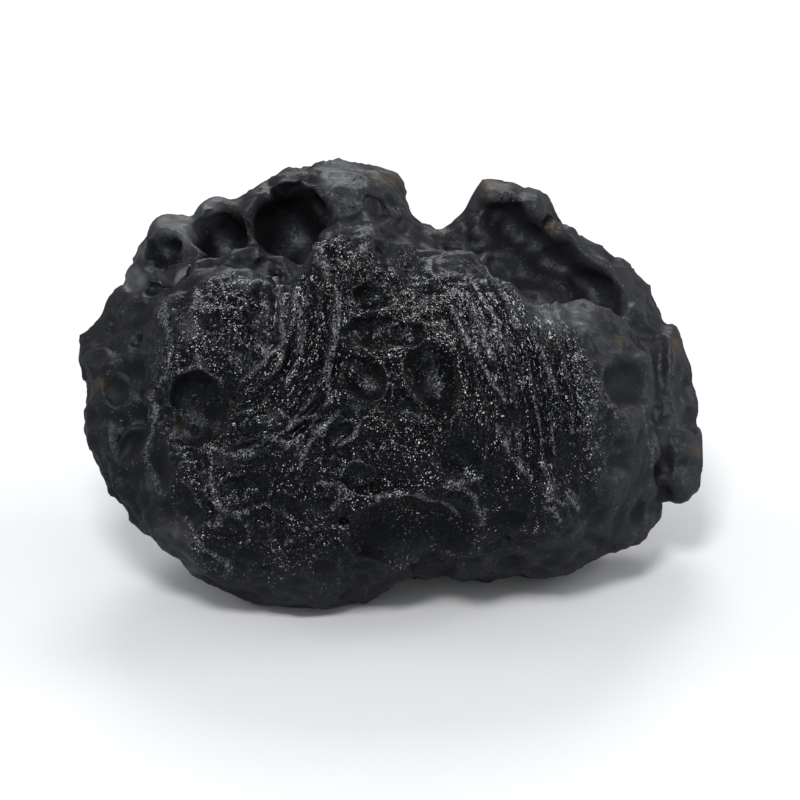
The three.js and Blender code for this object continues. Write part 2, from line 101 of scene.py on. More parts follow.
# Every lobe and hollow: centre, radii, roll in degrees, width of its blend.
LOBES = (
    ((0.5, -3.0, -0.5), (17.3, 10.8, 9.2), 0, 2.5),       # show face, the low dome
    ((-1.8, 2.6, 0.6), (5.6, 8.3, 6.4), 6, 1.3),          # top of the dome
    ((-1.4, 6.2, -5.0), (3.9, 5.7, 6.0), 0, 1.2),         # bench from the dome's top to the ridge
    ((-11.3, 0.4, -1.2), (6.8, 7.9, 6.8), 0, 1.0),        # left shoulder
    ((6.2, 1.0, -0.3), (5.4, 8.8, 7.0), 10, 1.0),         # right shoulder
    ((4.3, 7.1, -2.4), (3.6, 3.1, 3.8), 0, 0.8),          # crest between the dome and that
    ((12.6, -1.6, -3.0), (6.4, 7.6, 7.6), -20, 1.1),      # right side
    ((-6.5, -7.6, -2.4), (12.5, 7.8, 7.6), 8, 1.8),       # lower left
    ((9.6, -7.3, -4.8), (9.6, 7.1, 7.8), 12, 1.8),        # lower right
    ((-5.5, 8.5, -11.0), (8.5, 7.6, 4.4), -4, 0.9),       # ridge, left of the notch
    ((11.0, 6.0, -11.5), (9.0, 8.6, 4.6), -28, 0.9),      # ridge, right of the notch
    ((-15.9, 9.3, -7.0), (2.9, 2.9, 3.0), 30, 0.7),       # small ear at the upper left
    ((-20.0, 1.4, -6.5), (2.8, 3.0, 3.0), 0, 0.9),        # bump at the left end
    ((20.4, -2.6, -9.0), (2.4, 7.0, 3.4), 8, 0.7),        # flange at the right end
    ((0.0, -1.5, -9.5), (18.0, 9.2, 7.5), 0, 2.5),        # back
    ((-4.0, -7.2, -12.0), (6.0, 4.8, 4.0), 0, 2.0),       # heel, hidden behind
)
HOLLOWS = (
    ((-7.1, 11.3, -5.4), (2.8, 2.9, 3.6), 0, 0.6),        # deep one behind the crest
    ((-12.0, 10.6, -5.4), (2.0, 2.4, 2.9), 0, 0.5),       # smaller one beside it
    ((5.2, 12.0, -6.2), (4.4, 2.8, 3.2), -6, 0.9),        # saddle below the notch
    ((8.9, 11.3, -7.6), (3.0, 1.9, 2.4), -30, 0.8),       # smooth face right of the notch
    ((10.8, 9.1, -2.0), (4.7, 3.0, 7.3), -14, 0.5),       # valley behind the crest on the right
    ((13.6, 7.6, -5.6), (4.2, 2.4, 3.4), -38, 0.9),       # its lower end
    ((-15.6, 7.2, -4.4), (3.4, 1.4, 2.1), 38, 0.8),       # valley on the left
    ((-16.6, 9.8, -3.7), (1.5, 1.9, 1.6), -35, 0.3),      # dish in the ear
    ((-3.0, 12.7, -6.6), (3.0, 0.9, 1.5), -12, 0.5),      # under the ridge's ledge
)

# Pits, set into the surface straight behind (u, v): half width, half height, depth, roll, blend.
PITS = (
    (-13.6, -1.6, 2.6, 2.6, 2.2, 0, 0.4),                 # big one on the left
    (-14.6, -3.2, 1.6, 1.5, 1.2, 20, 0.4),
    (-12.1, -0.3, 1.4, 1.1, 0.7, -30, 0.5),
    (-1.2, 6.1, 1.6, 1.2, 1.3, 0, 0.15),                  # group in the middle of the face
    (0.5, 6.8, 0.6, 0.5, 0.25, 0, 0.15),
    (-0.6, 3.7, 2.4, 1.6, 1.6, 0, 0.15),
    (1.2, 3.6, 1.4, 1.3, 1.3, 0, 0.3),
    (-2.6, 3.2, 1.0, 0.9, 0.5, 0, 0.25),
    (-1.7, 0.3, 1.6, 1.65, 1.25, 0, 0.2),
    (3.1, 0.5, 1.9, 2.8, 1.7, 8, 0.2),
    (3.3, -1.6, 1.3, 1.1, 0.9, 0, 0.3),
    (0.6, -2.2, 1.5, 0.6, 0.35, -14, 0.45),
    (-2.6, 1.2, 1.0, 0.8, 0.7, 0, 0.3),
    (-3.5, -3.7, 1.1, 0.75, 0.5, 25, 0.3),
    (-1.3, -3.9, 0.75, 0.7, 0.3, 0, 0.25),
    (4.7, -5.4, 1.7, 1.5, 0.75, 0, 0.5),
    (5.2, 8.2, 1.15, 0.85, 0.4, -20, 0.2),                # on the crest
    (0.36, 10.6, 1.25, 1.1, 0.8, 0, 0.2),
    (1.0, -11.4, 4.6, 3.2, 1.7, -6, 0.3),                 # wide scoop at the lower edge
    (14.1, 7.9, 0.8, 0.6, 0.35, 0, 0.35),                 # right side
    (11.3, 4.8, 1.7, 1.1, 0.4, -10, 0.35),
    (16.8, 0.3, 2.3, 1.9, 0.9, 20, 0.9),
    (18.0, -9.6, 1.1, 1.2, 0.7, 0, 0.25),
    (11.5, -12.6, 1.8, 0.9, 0.45, 10, 0.25),
    (9.1, -13.1, 0.75, 0.6, 0.4, 0, 0.2),
    (7.6, -9.4, 1.2, 0.9, 0.35, 20, 0.3),
    (8.6, -3.0, 1.0, 0.9, 0.25, 0, 0.3),
    (-4.6, -13.2, 0.95, 0.85, 0.4, 0, 0.2),               # row along the lower edge
    (-2.0, -13.1, 1.0, 0.9, 0.4, 0, 0.2),
    (-6.6, -14.2, 1.1, 0.7, 0.35, 0, 0.25),
    (-9.5, -12.3, 1.5, 0.8, 0.5, -8, 0.3),
    (-16.1, -6.2, 1.2, 1.9, 0.7, 0, 0.35),                # left side
    (-18.5, -4.6, 0.85, 1.8, 0.8, -40, 0.35),
    (-19.5, -0.3, 1.1, 1.2, 0.5, 0, 0.35),
    (-20.9, 2.2, 0.8, 0.8, 0.4, 0, 0.3),
    (-13.8, -9.1, 1.1, 1.7, 0.45, 10, 0.35),
    (-18.3, 4.8, 1.3, 1.2, 0.5, 0, 0.35),
    (-14.5, 7.0, 1.1, 1.0, 0.6, 0, 0.25),
    (-17.1, 6.8, 0.8, 0.7, 0.4, 0, 0.25),
    (-16.8, -0.6, 0.55, 0.55, 0.35, 0, 0.12),
    (-15.9, -2.3, 0.6, 0.55, 0.35, 0, 0.12),
    (-15.8, -3.3, 0.5, 0.45, 0.3, 0, 0.12),
    (-11.0, -7.6, 1.2, 1.0, 0.5, 0, 0.25),                # mottled lower left of the face
    (-9.2, -7.3, 0.8, 0.8, 0.35, 0, 0.25),
    (-7.2, -8.5, 1.0, 0.9, 0.45, 0, 0.25),
    (-4.7, -8.8, 1.1, 1.0, 0.5, 0, 0.25),
    (-2.3, -6.5, 1.1, 0.8, 0.45, 25, 0.25),
    (-9.0, -5.6, 0.9, 0.7, 0.35, 0, 0.25),
    (-9.9, -4.4, 1.5, 0.45, 0.4, 8, 0.15),
    (-8.6, 3.0, 1.0, 1.3, 0.4, 20, 0.35),
    (-12.6, 4.4, 1.0, 0.9, 0.45, 0, 0.3),
    (-11.1, 2.4, 1.6, 1.8, 0.65, 15, 0.5),
)

# Small swellings: u, v, radius, how far they stand proud.
BUMPS = (
    (-0.5, 3.15, 0.34, 0.10), (0.14, 3.08, 0.34, 0.10),   # blisters in the pit under the first
    (-0.9, 3.25, 0.26, 0.08), (0.7, 3.15, 0.28, 0.08),
    (5.0, 8.1, 0.45, 0.2), (5.9, 7.7, 0.4, 0.18),         # in the pit on the crest
    (6.4, 10.8, 0.9, 0.4), (-7.7, 11.1, 0.8, 0.35), (-6.6, 12.2, 0.7, 0.3),
    (-12.2, 9.1, 0.7, 0.3),
)

# Ridges and grooves, laid on the surface straight behind their points: radius, depth of the centre
# line below the surface, points (u, v).
RIDGES = (
    (0.5, 0.22, ((-15.9, 5.7), (-16.1, 4.7), (-15.7, 2.4), (-16.0, 1.4), (-17.1, -1.1),
                 (-16.8, -2.1), (-17.0, -3.0), (-17.4, -4.9), (-17.0, -6.7), (-16.6, -8.0))),
    (0.45, 0.2, ((-15.1, 0.6), (-13.6, 1.15), (-12.0, 0.3))),
    (0.5, 0.22, ((-14.6, -9.75), (-13.5, -11.3), (-11.5, -13.6))),
    (0.45, 0.2, ((-13.0, -4.5), (-12.7, -6.7), (-12.0, -8.75), (-12.5, -10.0))),
    (0.26, 0.05, ((-12.9, -4.4), (-11.5, -5.0), (-10.0, -4.9), (-8.4, -4.0))),
    (0.25, 0.05, ((-7.9, -2.0), (-6.9, -2.9), (-5.4, -2.1))),
    (0.26, 0.05, ((-6.4, -6.0), (-5.9, -4.9), (-5.1, -3.4), (-3.9, -2.3))),
    (0.22, 0.04, ((-8.4, -4.0), (-7.0, -4.4), (-6.2, -3.9))),
    (0.25, 0.05, ((-12.6, -8.9), (-10.6, -9.3), (-8.6, -8.8))),
    (0.22, 0.04, ((-5.2, -7.0), (-3.7, -7.4), (-2.6, -8.1))),
    (0.22, 0.04, ((8.4, -4.0), (8.9, -5.6), (9.9, -6.6))),
    (0.55, 0.2, ((-5.0, 9.7), (-4.6, 8.7), (-3.9, 7.5))),
    (0.5, 0.2, ((-10.75, 7.9), (-9.0, 7.8), (-7.9, 6.8))),
    (0.35, 0.12, ((10.9, 2.7), (11.7, -0.65))),
    (0.27, 0.04, ((-8.0, 7.9), (-7.6, 4.5), (-7.4, 2.9), (-8.7, 1.4), (-10.7, 0.1))),
    (0.27, 0.04, ((-6.9, 6.4), (-6.3, 3.9), (-6.4, 2.3))),
    (0.27, 0.04, ((-3.6, 6.2), (-3.8, 2.4), (-4.4, -1.1))),
    (0.3, 0.1, ((4.5, 4.95), (6.2, 2.0), (8.2, -1.3))),
    (0.28, 0.1, ((5.6, 6.0), (6.6, 3.8), (7.3, 1.65))),
    (0.28, 0.1, ((7.3, 4.0), (8.2, 2.3))),
    (0.3, 0.12, ((8.2, 6.2), (9.0, 4.0))),
    (0.3, 0.06, ((10.9, -6.0), (11.4, -7.1), (11.5, -7.9), (12.0, -9.75))),
    (0.28, 0.06, ((12.8, -7.7), (13.4, -9.25))),
    (0.28, 0.06, ((11.5, -7.9), (12.6, -8.6))),
    (0.45, 0.25, ((4.6, -7.3), (6.3, -8.4), (6.6, -10.2))),
    (0.35, 0.14, ((4.2, -7.0), (5.4, -7.2), (6.5, -6.9))),
    (0.3, 0.12, ((-3.9, -9.2), (-3.4, -8.5), (-2.7, -8.0), (0.4, -7.9), (2.4, -8.1), (3.8, -8.6),
                 (4.9, -9.7))),
    (0.55, 0.28, ((18.2, -1.8), (19.0, -4.1), (18.9, -5.9))),
    (0.35, 0.14, ((-2.5, -2.4), (-2.15, -2.9), (-2.5, -3.9), (-3.4, -4.6))),
    (0.35, 0.12, ((-4.7, 10.5), (-3.7, 11.1), (-1.6, 11.4))),
    (0.35, 0.12, ((1.5, 9.6), (2.9, 8.9), (4.4, 8.9), (5.6, 8.7), (6.7, 8.0), (7.6, 7.1), (9.6, 5.9),
                  (12.7, 5.4))),
    (0.4, 0.2, ((-10.1, 12.0), (-9.4, 8.9))),
    (0.4, 0.2, ((-4.9, 13.4), (-2.65, 13.2), (-1.6, 12.6), (1.2, 12.7))),
)
GROOVES = (
    (0.45, -0.1, ((-4.1, 9.7), (-3.4, 7.8), (-3.2, 6.4))),
    (0.8, -0.3, ((19.3, 3.4), (19.7, 0.0), (19.8, -4.0), (19.6, -7.0))),
    (0.3, -0.1, ((-6.2, 5.0), (-6.6, 2.0), (-8.0, -1.0))),
)

# Places painted pale, partly rubbed wear and partly painted highlights: u, v, radius, how strongly.
RUBBED_AND_HIGHLIT = (
    (11.4, 4.6, 2.3, 1.0), (13.6, 4.6, 1.5, 0.8), (9.4, 5.6, 1.0, 0.8), (-10.3, 7.7, 1.4, 0.8),
    (-14.4, 11.1, 1.6, 1.0), (-18.4, 7.5, 1.3, 1.0), (-16.2, 11.3, 1.3, 0.9), (-14.1, 3.9, 1.2, 0.8),
    (-17.9, 9.6, 0.9, 0.8), (-16.2, 7.9, 1.0, 0.5), (-15.2, 12.2, 1.7, 1.0), (-19.2, 9.4, 1.4, 0.9),
    (-13.0, 12.9, 1.4, 0.8), (-19.4, 7.4, 1.3, 0.8), (-14.6, -13.2, 1.8, 0.6),
    (-9.1, 4.5, 1.0, 0.6), (-2.3, -1.7, 0.5, 1.0), (-1.3, -0.1, 0.9, 0.4), (3.0, -0.3, 1.1, 0.4),
    (-5.6, 9.4, 1.2, 0.5), (-3.5, 15.2, 2.2, 0.4), (8.2, 3.0, 0.8, 0.5), (-8.4, -2.6, 1.0, 0.5),
    (-6.5, -4.6, 0.8, 0.6), (11.4, -7.4, 0.9, 0.7), (12.9, -8.2, 0.8, 0.6), (-15.6, -11.0, 2.0, 0.5),
    (-11.8, -5.4, 0.9, 0.6), (19.4, -4.0, 0.9, 0.5), (4.4, -7.0, 0.7, 0.7),
)

# Warm stains of earth left in low places: u, v, radius.
STAINS = (
    (0.0, 15.3, 1.6), (7.3, 14.3, 0.8), (11.8, 11.2, 0.9), (-20.8, -0.1, 0.6),
    (20.9, 2.7, 0.9), (-15.2, -3.3, 0.4), (22.2, -4.8, 0.7), (16.6, 3.1, 0.5), (-15.2, -10.2, 0.4),
)


# Low swells of the bare stone: height, and the waves that are multiplied for its form.
SWELLS: tuple[tuple[float, tuple[Wave, ...]], ...] = (
    (0.26, ((0.83, 0.31, 0.0, 1.3), (0.0, 0.71, -0.42, 0.4))),
    (0.20, ((1.37, 0.0, -0.64, 2.1), (0.0, 1.21, 0.77, 1.1), (0.58, 0.0, 0.93, 0.0))),
)

# How the hollows and the marks are bent along u, v and w: height and form of the waves added up.
HOLLOW_BENDS: tuple[tuple[tuple[float, Wave], ...], ...] = (
    ((0.25, (0.0, 1.7, 0.9, 0.0)),),
    ((0.25, (1.5, 0.0, -1.1, 0.0)),),
    ((0.25, (1.2, 1.4, 0.0, 0.0)),),
)
MARK_BENDS: tuple[tuple[tuple[float, Wave], ...], ...] = (
    ((0.14, (0.0, 1.2, 0.8, 0.3)), (0.03, (1.1, -2.7, 3.1, 0.0))),
    ((0.14, (1.3, 0.0, -0.7, 1.7)), (0.03, (2.9, 0.0, 2.3, 0.9))),
    ((0.08, (1.1, 0.9, 0.0, 0.5)), (0.02, (-3.1, 2.7, 0.0, 2.2))),
)


# ---------------------------------------------------------------------------------- simple forms

def smooth_min(a: Array, b: Array, width: float) -> Array:
    """The lesser of two distances, rounded where they are closer than a width.

    Args:
        a: First distances.
        b: Second distances.
        width: How wide the rounding is.

    Returns:
        The blended distances.
    """
    overlap = np.maximum(width - np.abs(a - b), 0.0) / width
    return np.minimum(a, b) - overlap * overlap * width / 4.0


def smooth_max(a: Array, b: Array, width: float) -> Array:
    """The greater of two distances, rounded in the same way."""
    return -smooth_min(-a, -b, width)


def soft_step(value: Array, low: float, high: float) -> Array:
    """A smooth rise from 0 at low to 1 at high.

    Args:
        value: Any numbers.
        low: Where the rise starts.
        high: Where it ends.

    Returns:
        Numbers from 0 to 1.
    """
    t = np.clip((value - low) / (high - low), 0.0, 1.0)
    return t * t * (3.0 - 2.0 * t)


def wave(points: Array, row: Wave) -> Array:
    """A sine wave through space, from -1 to 1.

    Args:
        points: Points in the face frame, one to a row.
        row: Radians to a millimetre along u, v and w, and the wave's start.

    Returns:
        One number for each point.
    """
    per_u, per_v, per_w, start = row
    u, v, w = points.T
    return np.sin(per_u * u + per_v * v + per_w * w + start)


def bends(points: Array, rows: tuple[tuple[tuple[float, Wave], ...], ...]) -> Array:
    """How far space is bent at each point, along u, v and w.

    Args:
        points: Points in the face frame, one to a row.
        rows: For each of the three ways, the waves that are added up.

    Returns:
        One shift to a row, in millimetres.
    """
    return np.stack([sum(height * wave(points, row) for height, row in way) for way in rows], axis=1)


def unit(vectors: Array) -> Array:
    """The vectors, made one long."""
    return vectors / np.maximum(np.linalg.norm(vectors, axis=1, keepdims=True), LEAST_LENGTH)


def height_of(points: Array) -> Array:
    """Height above the table of points in the face frame, in millimetres."""
    return points[:, 1] * math.cos(LEAN) + points[:, 2] * math.sin(LEAN) - FLOOR


def stand_up(points: Array) -> Array:
    """Turns face-frame points in millimetres into the part's frame in metres.

    Args:
        points: Points in the face frame, one to a row.

    Returns:
        The same points in the part's frame.
    """
    u, v, w = points.T
    back = v * math.sin(LEAN) - w * math.cos(LEAN) - MIDDLE[1]
    return np.stack([u - MIDDLE[0], back, height_of(points)], axis=1) * MM


class Effect(Enum):
    """What a form does to the stone: it adds glass or takes it away."""

    ADDS = 1
    CUTS = -1


@dataclass(frozen=True)
class Lobe:
    """An ellipsoid, rolled about the axis that points out of the show face."""

    centre: Point
    radii: Point
    roll: float
    blend: float
    effect: Effect = Effect.ADDS

    @property
    def middle(self) -> Array:
        """The centre as an array."""
        return np.array(self.centre)

    @property
    def reach(self) -> float:
        """The longest radius."""
        return max(self.radii)

    def distance(self, points: Array) -> Array:
        """Distance to the ellipsoid's surface, close to the true one near it.

        Args:
            points: Points in the face frame, one to a row.

        Returns:
            Distances in millimetres, negative inside.
        """
        turn = math.radians(self.roll)
        du, dv, dw = (points - self.middle).T
        along = (du * math.cos(turn) + dv * math.sin(turn)) / self.radii[0]
        across = (dv * math.cos(turn) - du * math.sin(turn)) / self.radii[1]
        out = dw / self.radii[2]
        level = np.sqrt(along ** 2 + across ** 2 + out ** 2)
        steep = np.sqrt((along / self.radii[0]) ** 2 + (across / self.radii[1]) ** 2
                        + (out / self.radii[2]) ** 2)
        return level * (level - 1.0) / np.maximum(steep, LEAST_SLOPE)


@dataclass(frozen=True)
class Strand:
    """A round bar between two points."""

    start: Point
    end: Point
    radius: float
    blend: float
    effect: Effect = Effect.ADDS

    @property
    def middle(self) -> Array:
        """The point half way along."""
        return (np.array(self.start) + np.array(self.end)) / 2.0

    @property
    def reach(self) -> float:
        """How far the bar goes from its middle."""
        return float(np.linalg.norm(np.array(self.end) - np.array(self.start))) / 2.0 + self.radius

    def distance(self, points: Array) -> Array:
        """Distance to the bar's surface.

        Args:
            points: Points in the face frame, one to a row.

        Returns:
            Distances in millimetres, negative inside.
        """
        line = np.array(self.end) - np.array(self.start)
        away = points - np.array(self.start)
        t = np.clip(away @ line / (line @ line), 0.0, 1.0)
        return np.linalg.norm(away - t[:, None] * line, axis=1) - self.radius


# ---------------------------------------------------------------------------------- the bare stone

@dataclass
class Outline:
    """The closed curve of the show face, kept as a table of distances to it."""

    corners: tuple[Spot, ...] = OUTLINE
    steps: int = 4
    cell: float = 0.15
    reach: Spot = (27.0, 21.0)
    last: float = 1.001              # keeps what is looked up inside the table's last cell
    table: Array = field(init=False)

    def __post_init__(self) -> None:
        """Fills the table."""
        ring = self.ring()
        us = np.arange(-self.reach[0], self.reach[0] + self.cell / 2, self.cell)
        vs = np.arange(-self.reach[1], self.reach[1] + self.cell / 2, self.cell)
        u, v = np.meshgrid(us, vs)
        nearest = np.full(u.shape, np.inf)
        inside = np.zeros(u.shape, bool)
        for a, b in zip(ring, np.roll(ring, -1, axis=0)):
            edge = b - a
            t = np.clip(((u - a[0]) * edge[0] + (v - a[1]) * edge[1]) / (edge @ edge), 0.0, 1.0)
            nearest = np.minimum(nearest, np.hypot(u - a[0] - edge[0] * t, v - a[1] - edge[1] * t))
            if edge[1] != 0.0:
                crosses = (a[1] <= v) != (b[1] <= v)
                inside ^= crosses & (u < a[0] + (v - a[1]) * edge[0] / edge[1])
        self.table = np.where(inside, -nearest, nearest)

    def ring(self) -> Array:
        """The smooth curve through the corners.

        Returns:
            Its points, in a closed ring.
        """
        here = np.array(self.corners)
        before, after, later = (np.roll(here, shift, axis=0) for shift in (1, -1, -2))
        parts = []
        for step in range(self.steps):
            t = step / self.steps
            bend = 2 * before - 5 * here + 4 * after - later
            rest = 3 * here - before - 3 * after + later
            parts.append((2 * here + (after - before) * t + bend * t ** 2 + rest * t ** 3) / 2)
        return np.stack(parts, axis=1).reshape(-1, 2)

    def distance(self, u: Array, v: Array) -> Array:
        """Distance to the curve, negative inside.

        Args:
            u: Places across the face.
            v: Places up the face.

        Returns:
            Distances in millimetres.
        """
        rows, columns = self.table.shape
        x = (u + self.reach[0]) / self.cell
        y = (v + self.reach[1]) / self.cell
        cx = np.clip(x, 0.0, columns - self.last)
        cy = np.clip(y, 0.0, rows - self.last)
        column, row = cx.astype(int), cy.astype(int)
        fx, fy = cx - column, cy - row
        lower = self.table[row, column] * (1 - fx) + self.table[row, column + 1] * fx
        upper = self.table[row + 1, column] * (1 - fx) + self.table[row + 1, column + 1] * fx
        return lower * (1 - fy) + upper * fy + np.hypot(x - cx, y - cy) * self.cell


@dataclass
class BareStone:
    """The stone's main forms: lobes filled out and trimmed to the outline, with hollows in them."""

    outline: Outline = field(default_factory=Outline)
    lobes: tuple[Lobe, ...] = tuple(Lobe(*row) for row in LOBES)
    hollows: tuple[Lobe, ...] = tuple(Lobe(*row) for row in HOLLOWS)
    proud: float = 0.18              # makes up for what the blends round off the edge
    rim: Point = (-7.0, -0.12, -0.25)    # where the stone is widest: at the middle, per u, per v
    fill_round: float = 4.5
    fill_half: float = 5.0
    fill_soft: float = 2.0
    trim_round: float = 9.0
    trim_soft: float = 0.4
    fill_blend: float = 1.0
    edge_swell: float = 1.6          # how much more the swells move the walls away from the rim
    stride: float = 0.7              # share of the way to the surface that a walking point dares

    def rim_behind(self, points: Array) -> Array:
        """How far each point stands in front of the widest line, in millimetres."""
        at, per_u, per_v = self.rim
        return points[:, 2] - (at + per_u * points[:, 0] + per_v * points[:, 1])

    @staticmethod
    def swell(points: Array) -> Array:
        """Low swells that keep the lobes from being plain ellipsoids."""
        return sum(height * math.prod(wave(points, row) for row in rows) for height, rows in SWELLS)

    def distance(self, points: Array) -> Array:
        """Distance-like field that is zero on the bare stone's surface.

        Args:
            points: Points in the face frame, one to a row.

        Returns:
            Distances in millimetres, negative inside.
        """
        d = self.lobes[0].distance(points)
        for lobe in self.lobes[1:]:
            d = smooth_min(d, lobe.distance(points), lobe.blend)
        swell = self.swell(points)
        d = d + swell
        behind = self.rim_behind(points)
        away = 1.0 - np.exp(-behind ** 2 / self.fill_round)
        edge = self.outline.distance(points[:, 0], points[:, 1]) - self.proud
        fill = edge + np.hypot(behind, self.fill_round) - self.fill_round
        band = smooth_max(fill, np.abs(behind) - self.fill_half, self.fill_soft)
        d = smooth_min(d, band, self.fill_blend)
        trim = edge + np.hypot(behind, self.trim_round) - self.trim_round
        d = smooth_max(d, trim + self.edge_swell * swell * away, self.trim_soft)
        bent = points + bends(points, HOLLOW_BENDS)
        for hollow in self.hollows:
            d = smooth_max(d, -hollow.distance(bent), hollow.blend)
        return d

    def slope(self, points: Array, step: float = 0.05) -> Array:
        """The field's slope by differences.

        Args:
            points: Points in the face frame, one to a row.
            step: How far the differences reach to each side.

        Returns:
            One vector to a row.
        """
        sides = [self.distance(points + move) - self.distance(points - move)
                 for move in np.eye(3) * step]
        return np.stack(sides, axis=1) / (2.0 * step)

    def reach_surface(self, start: Array, direction: Array, steps: int = 80) -> Array:
        """Walks points from outside towards the stone until they meet it.

        Args:
            start: Points outside, one to a row.
            direction: Which way each one walks.
            steps: How many steps they take.

        Returns:
            Points on the surface.
        """
        points = start.copy()
        for _ in range(steps):
            points += direction * np.clip(self.distance(points) * self.stride, 0.0, LONGEST_STEP)[:, None]
        return points

    def behind(self, spots: Array) -> tuple[Array, Array]:
        """Surface points straight behind places on the show face, and their normals.

        Args:
            spots: Places (u, v), one to a row.

        Returns:
            The points and the unit normals.
        """
        start = np.column_stack([spots, np.full(len(spots), START_AWAY)])
        points = self.reach_surface(start, np.tile([0.0, 0.0, -1.0], (len(spots), 1)))
        return points, unit(self.slope(points))


# ---------------------------------------------------------------------------------- marks on it

def pit(at: Array, normal: Array, half: Spot, depth: float, roll: float, blend: float) -> Lobe:
    """A pit: the cap of an ellipsoid whose centre stands off the surface.

    Args:
        at: The surface point in the pit's middle.
        normal: The surface's normal there.
        half: The pit's half width and half height.
        depth: How deep it is.
        roll: Its turn in degrees.
        blend: Width of its rounded lip.

    Returns:
        The form that cuts the pit.
    """
    mean = (half[0] + half[1]) / 2.0
    ball = (mean * mean + depth * depth) / (2.0 * depth)
    centre = tuple(at + normal * (ball - depth))
    return Lobe(centre, (half[0] * ball / mean, half[1] * ball / mean, ball), roll, blend, Effect.CUTS)


@dataclass
class Sequence:
    """The Park-Miller sequence: the same numbers from 0 to 1 every time."""

    state: int
    factor: int = 16807
    modulus: int = 2147483647

    def draw(self) -> float:
        """The next number."""
        self.state = self.state * self.factor % self.modulus
        return self.state / self.modulus


@dataclass(frozen=True)
class Spread:
    """Pits spread all round the stone on a golden spiral, shaken a little."""

    seed: int
    count: int
    smallest: float
    largest: float
    bias: float
    shallowest: float
    depth_range: float
    blend: float
    face_edge: float                 # how far in front of the widest line they may lie
    face_largest: float = 0.0        # the largest allowed on the show face
    wobble: float = 1.2
    rise: float = 0.12
    clearance: float = 0.6

    def pits(self, stone: BareStone, taken: list[tuple[Array, float]]) -> list[Lobe]:
        """Places the pits where nothing named is in the way.

        Args:
            stone: The stone they are cut into.
            taken: Middle and size of each pit that is there already.

        Returns:
            The forms that cut them.
        """
        sequence = Sequence(self.seed)
        golden = math.pi * (3.0 - math.sqrt(5.0))
        outward, sizes, depths = [], [], []
        for i in range(self.count):
            turn = golden * i + (sequence.draw() - 0.5) * self.wobble
            level = 1.0 - 2.0 * (i + 0.5) / self.count + (sequence.draw() - 0.5) * self.rise
            height = min(max(level, -1.0), 1.0)
            ring = math.sqrt(1.0 - height * height)
            outward.append((ring * math.cos(turn), ring * math.sin(turn), height))
            size = self.smallest * (self.largest / self.smallest) ** (sequence.draw() ** self.bias)
            sizes.append(size)
            depths.append(size * (self.shallowest + self.depth_range * sequence.draw()))
        away = np.array(outward)
        at = stone.reach_surface(np.array(CORE) + away * START_AWAY, -away)
        normals = unit(stone.slope(at))
        on_face = stone.rim_behind(at) > self.face_edge
        others = np.array([place for place, _ in taken])
        widths = np.array([width for _, width in taken])
        found = []
        for i, size in enumerate(sizes):
            gap = np.linalg.norm(others - at[i], axis=1) - widths
            if gap.min() < size * self.clearance or (on_face[i] and size > self.face_largest):
                continue
            found.append(pit(at[i], normals[i], (size, size), depths[i], 0.0, self.blend))
        return found


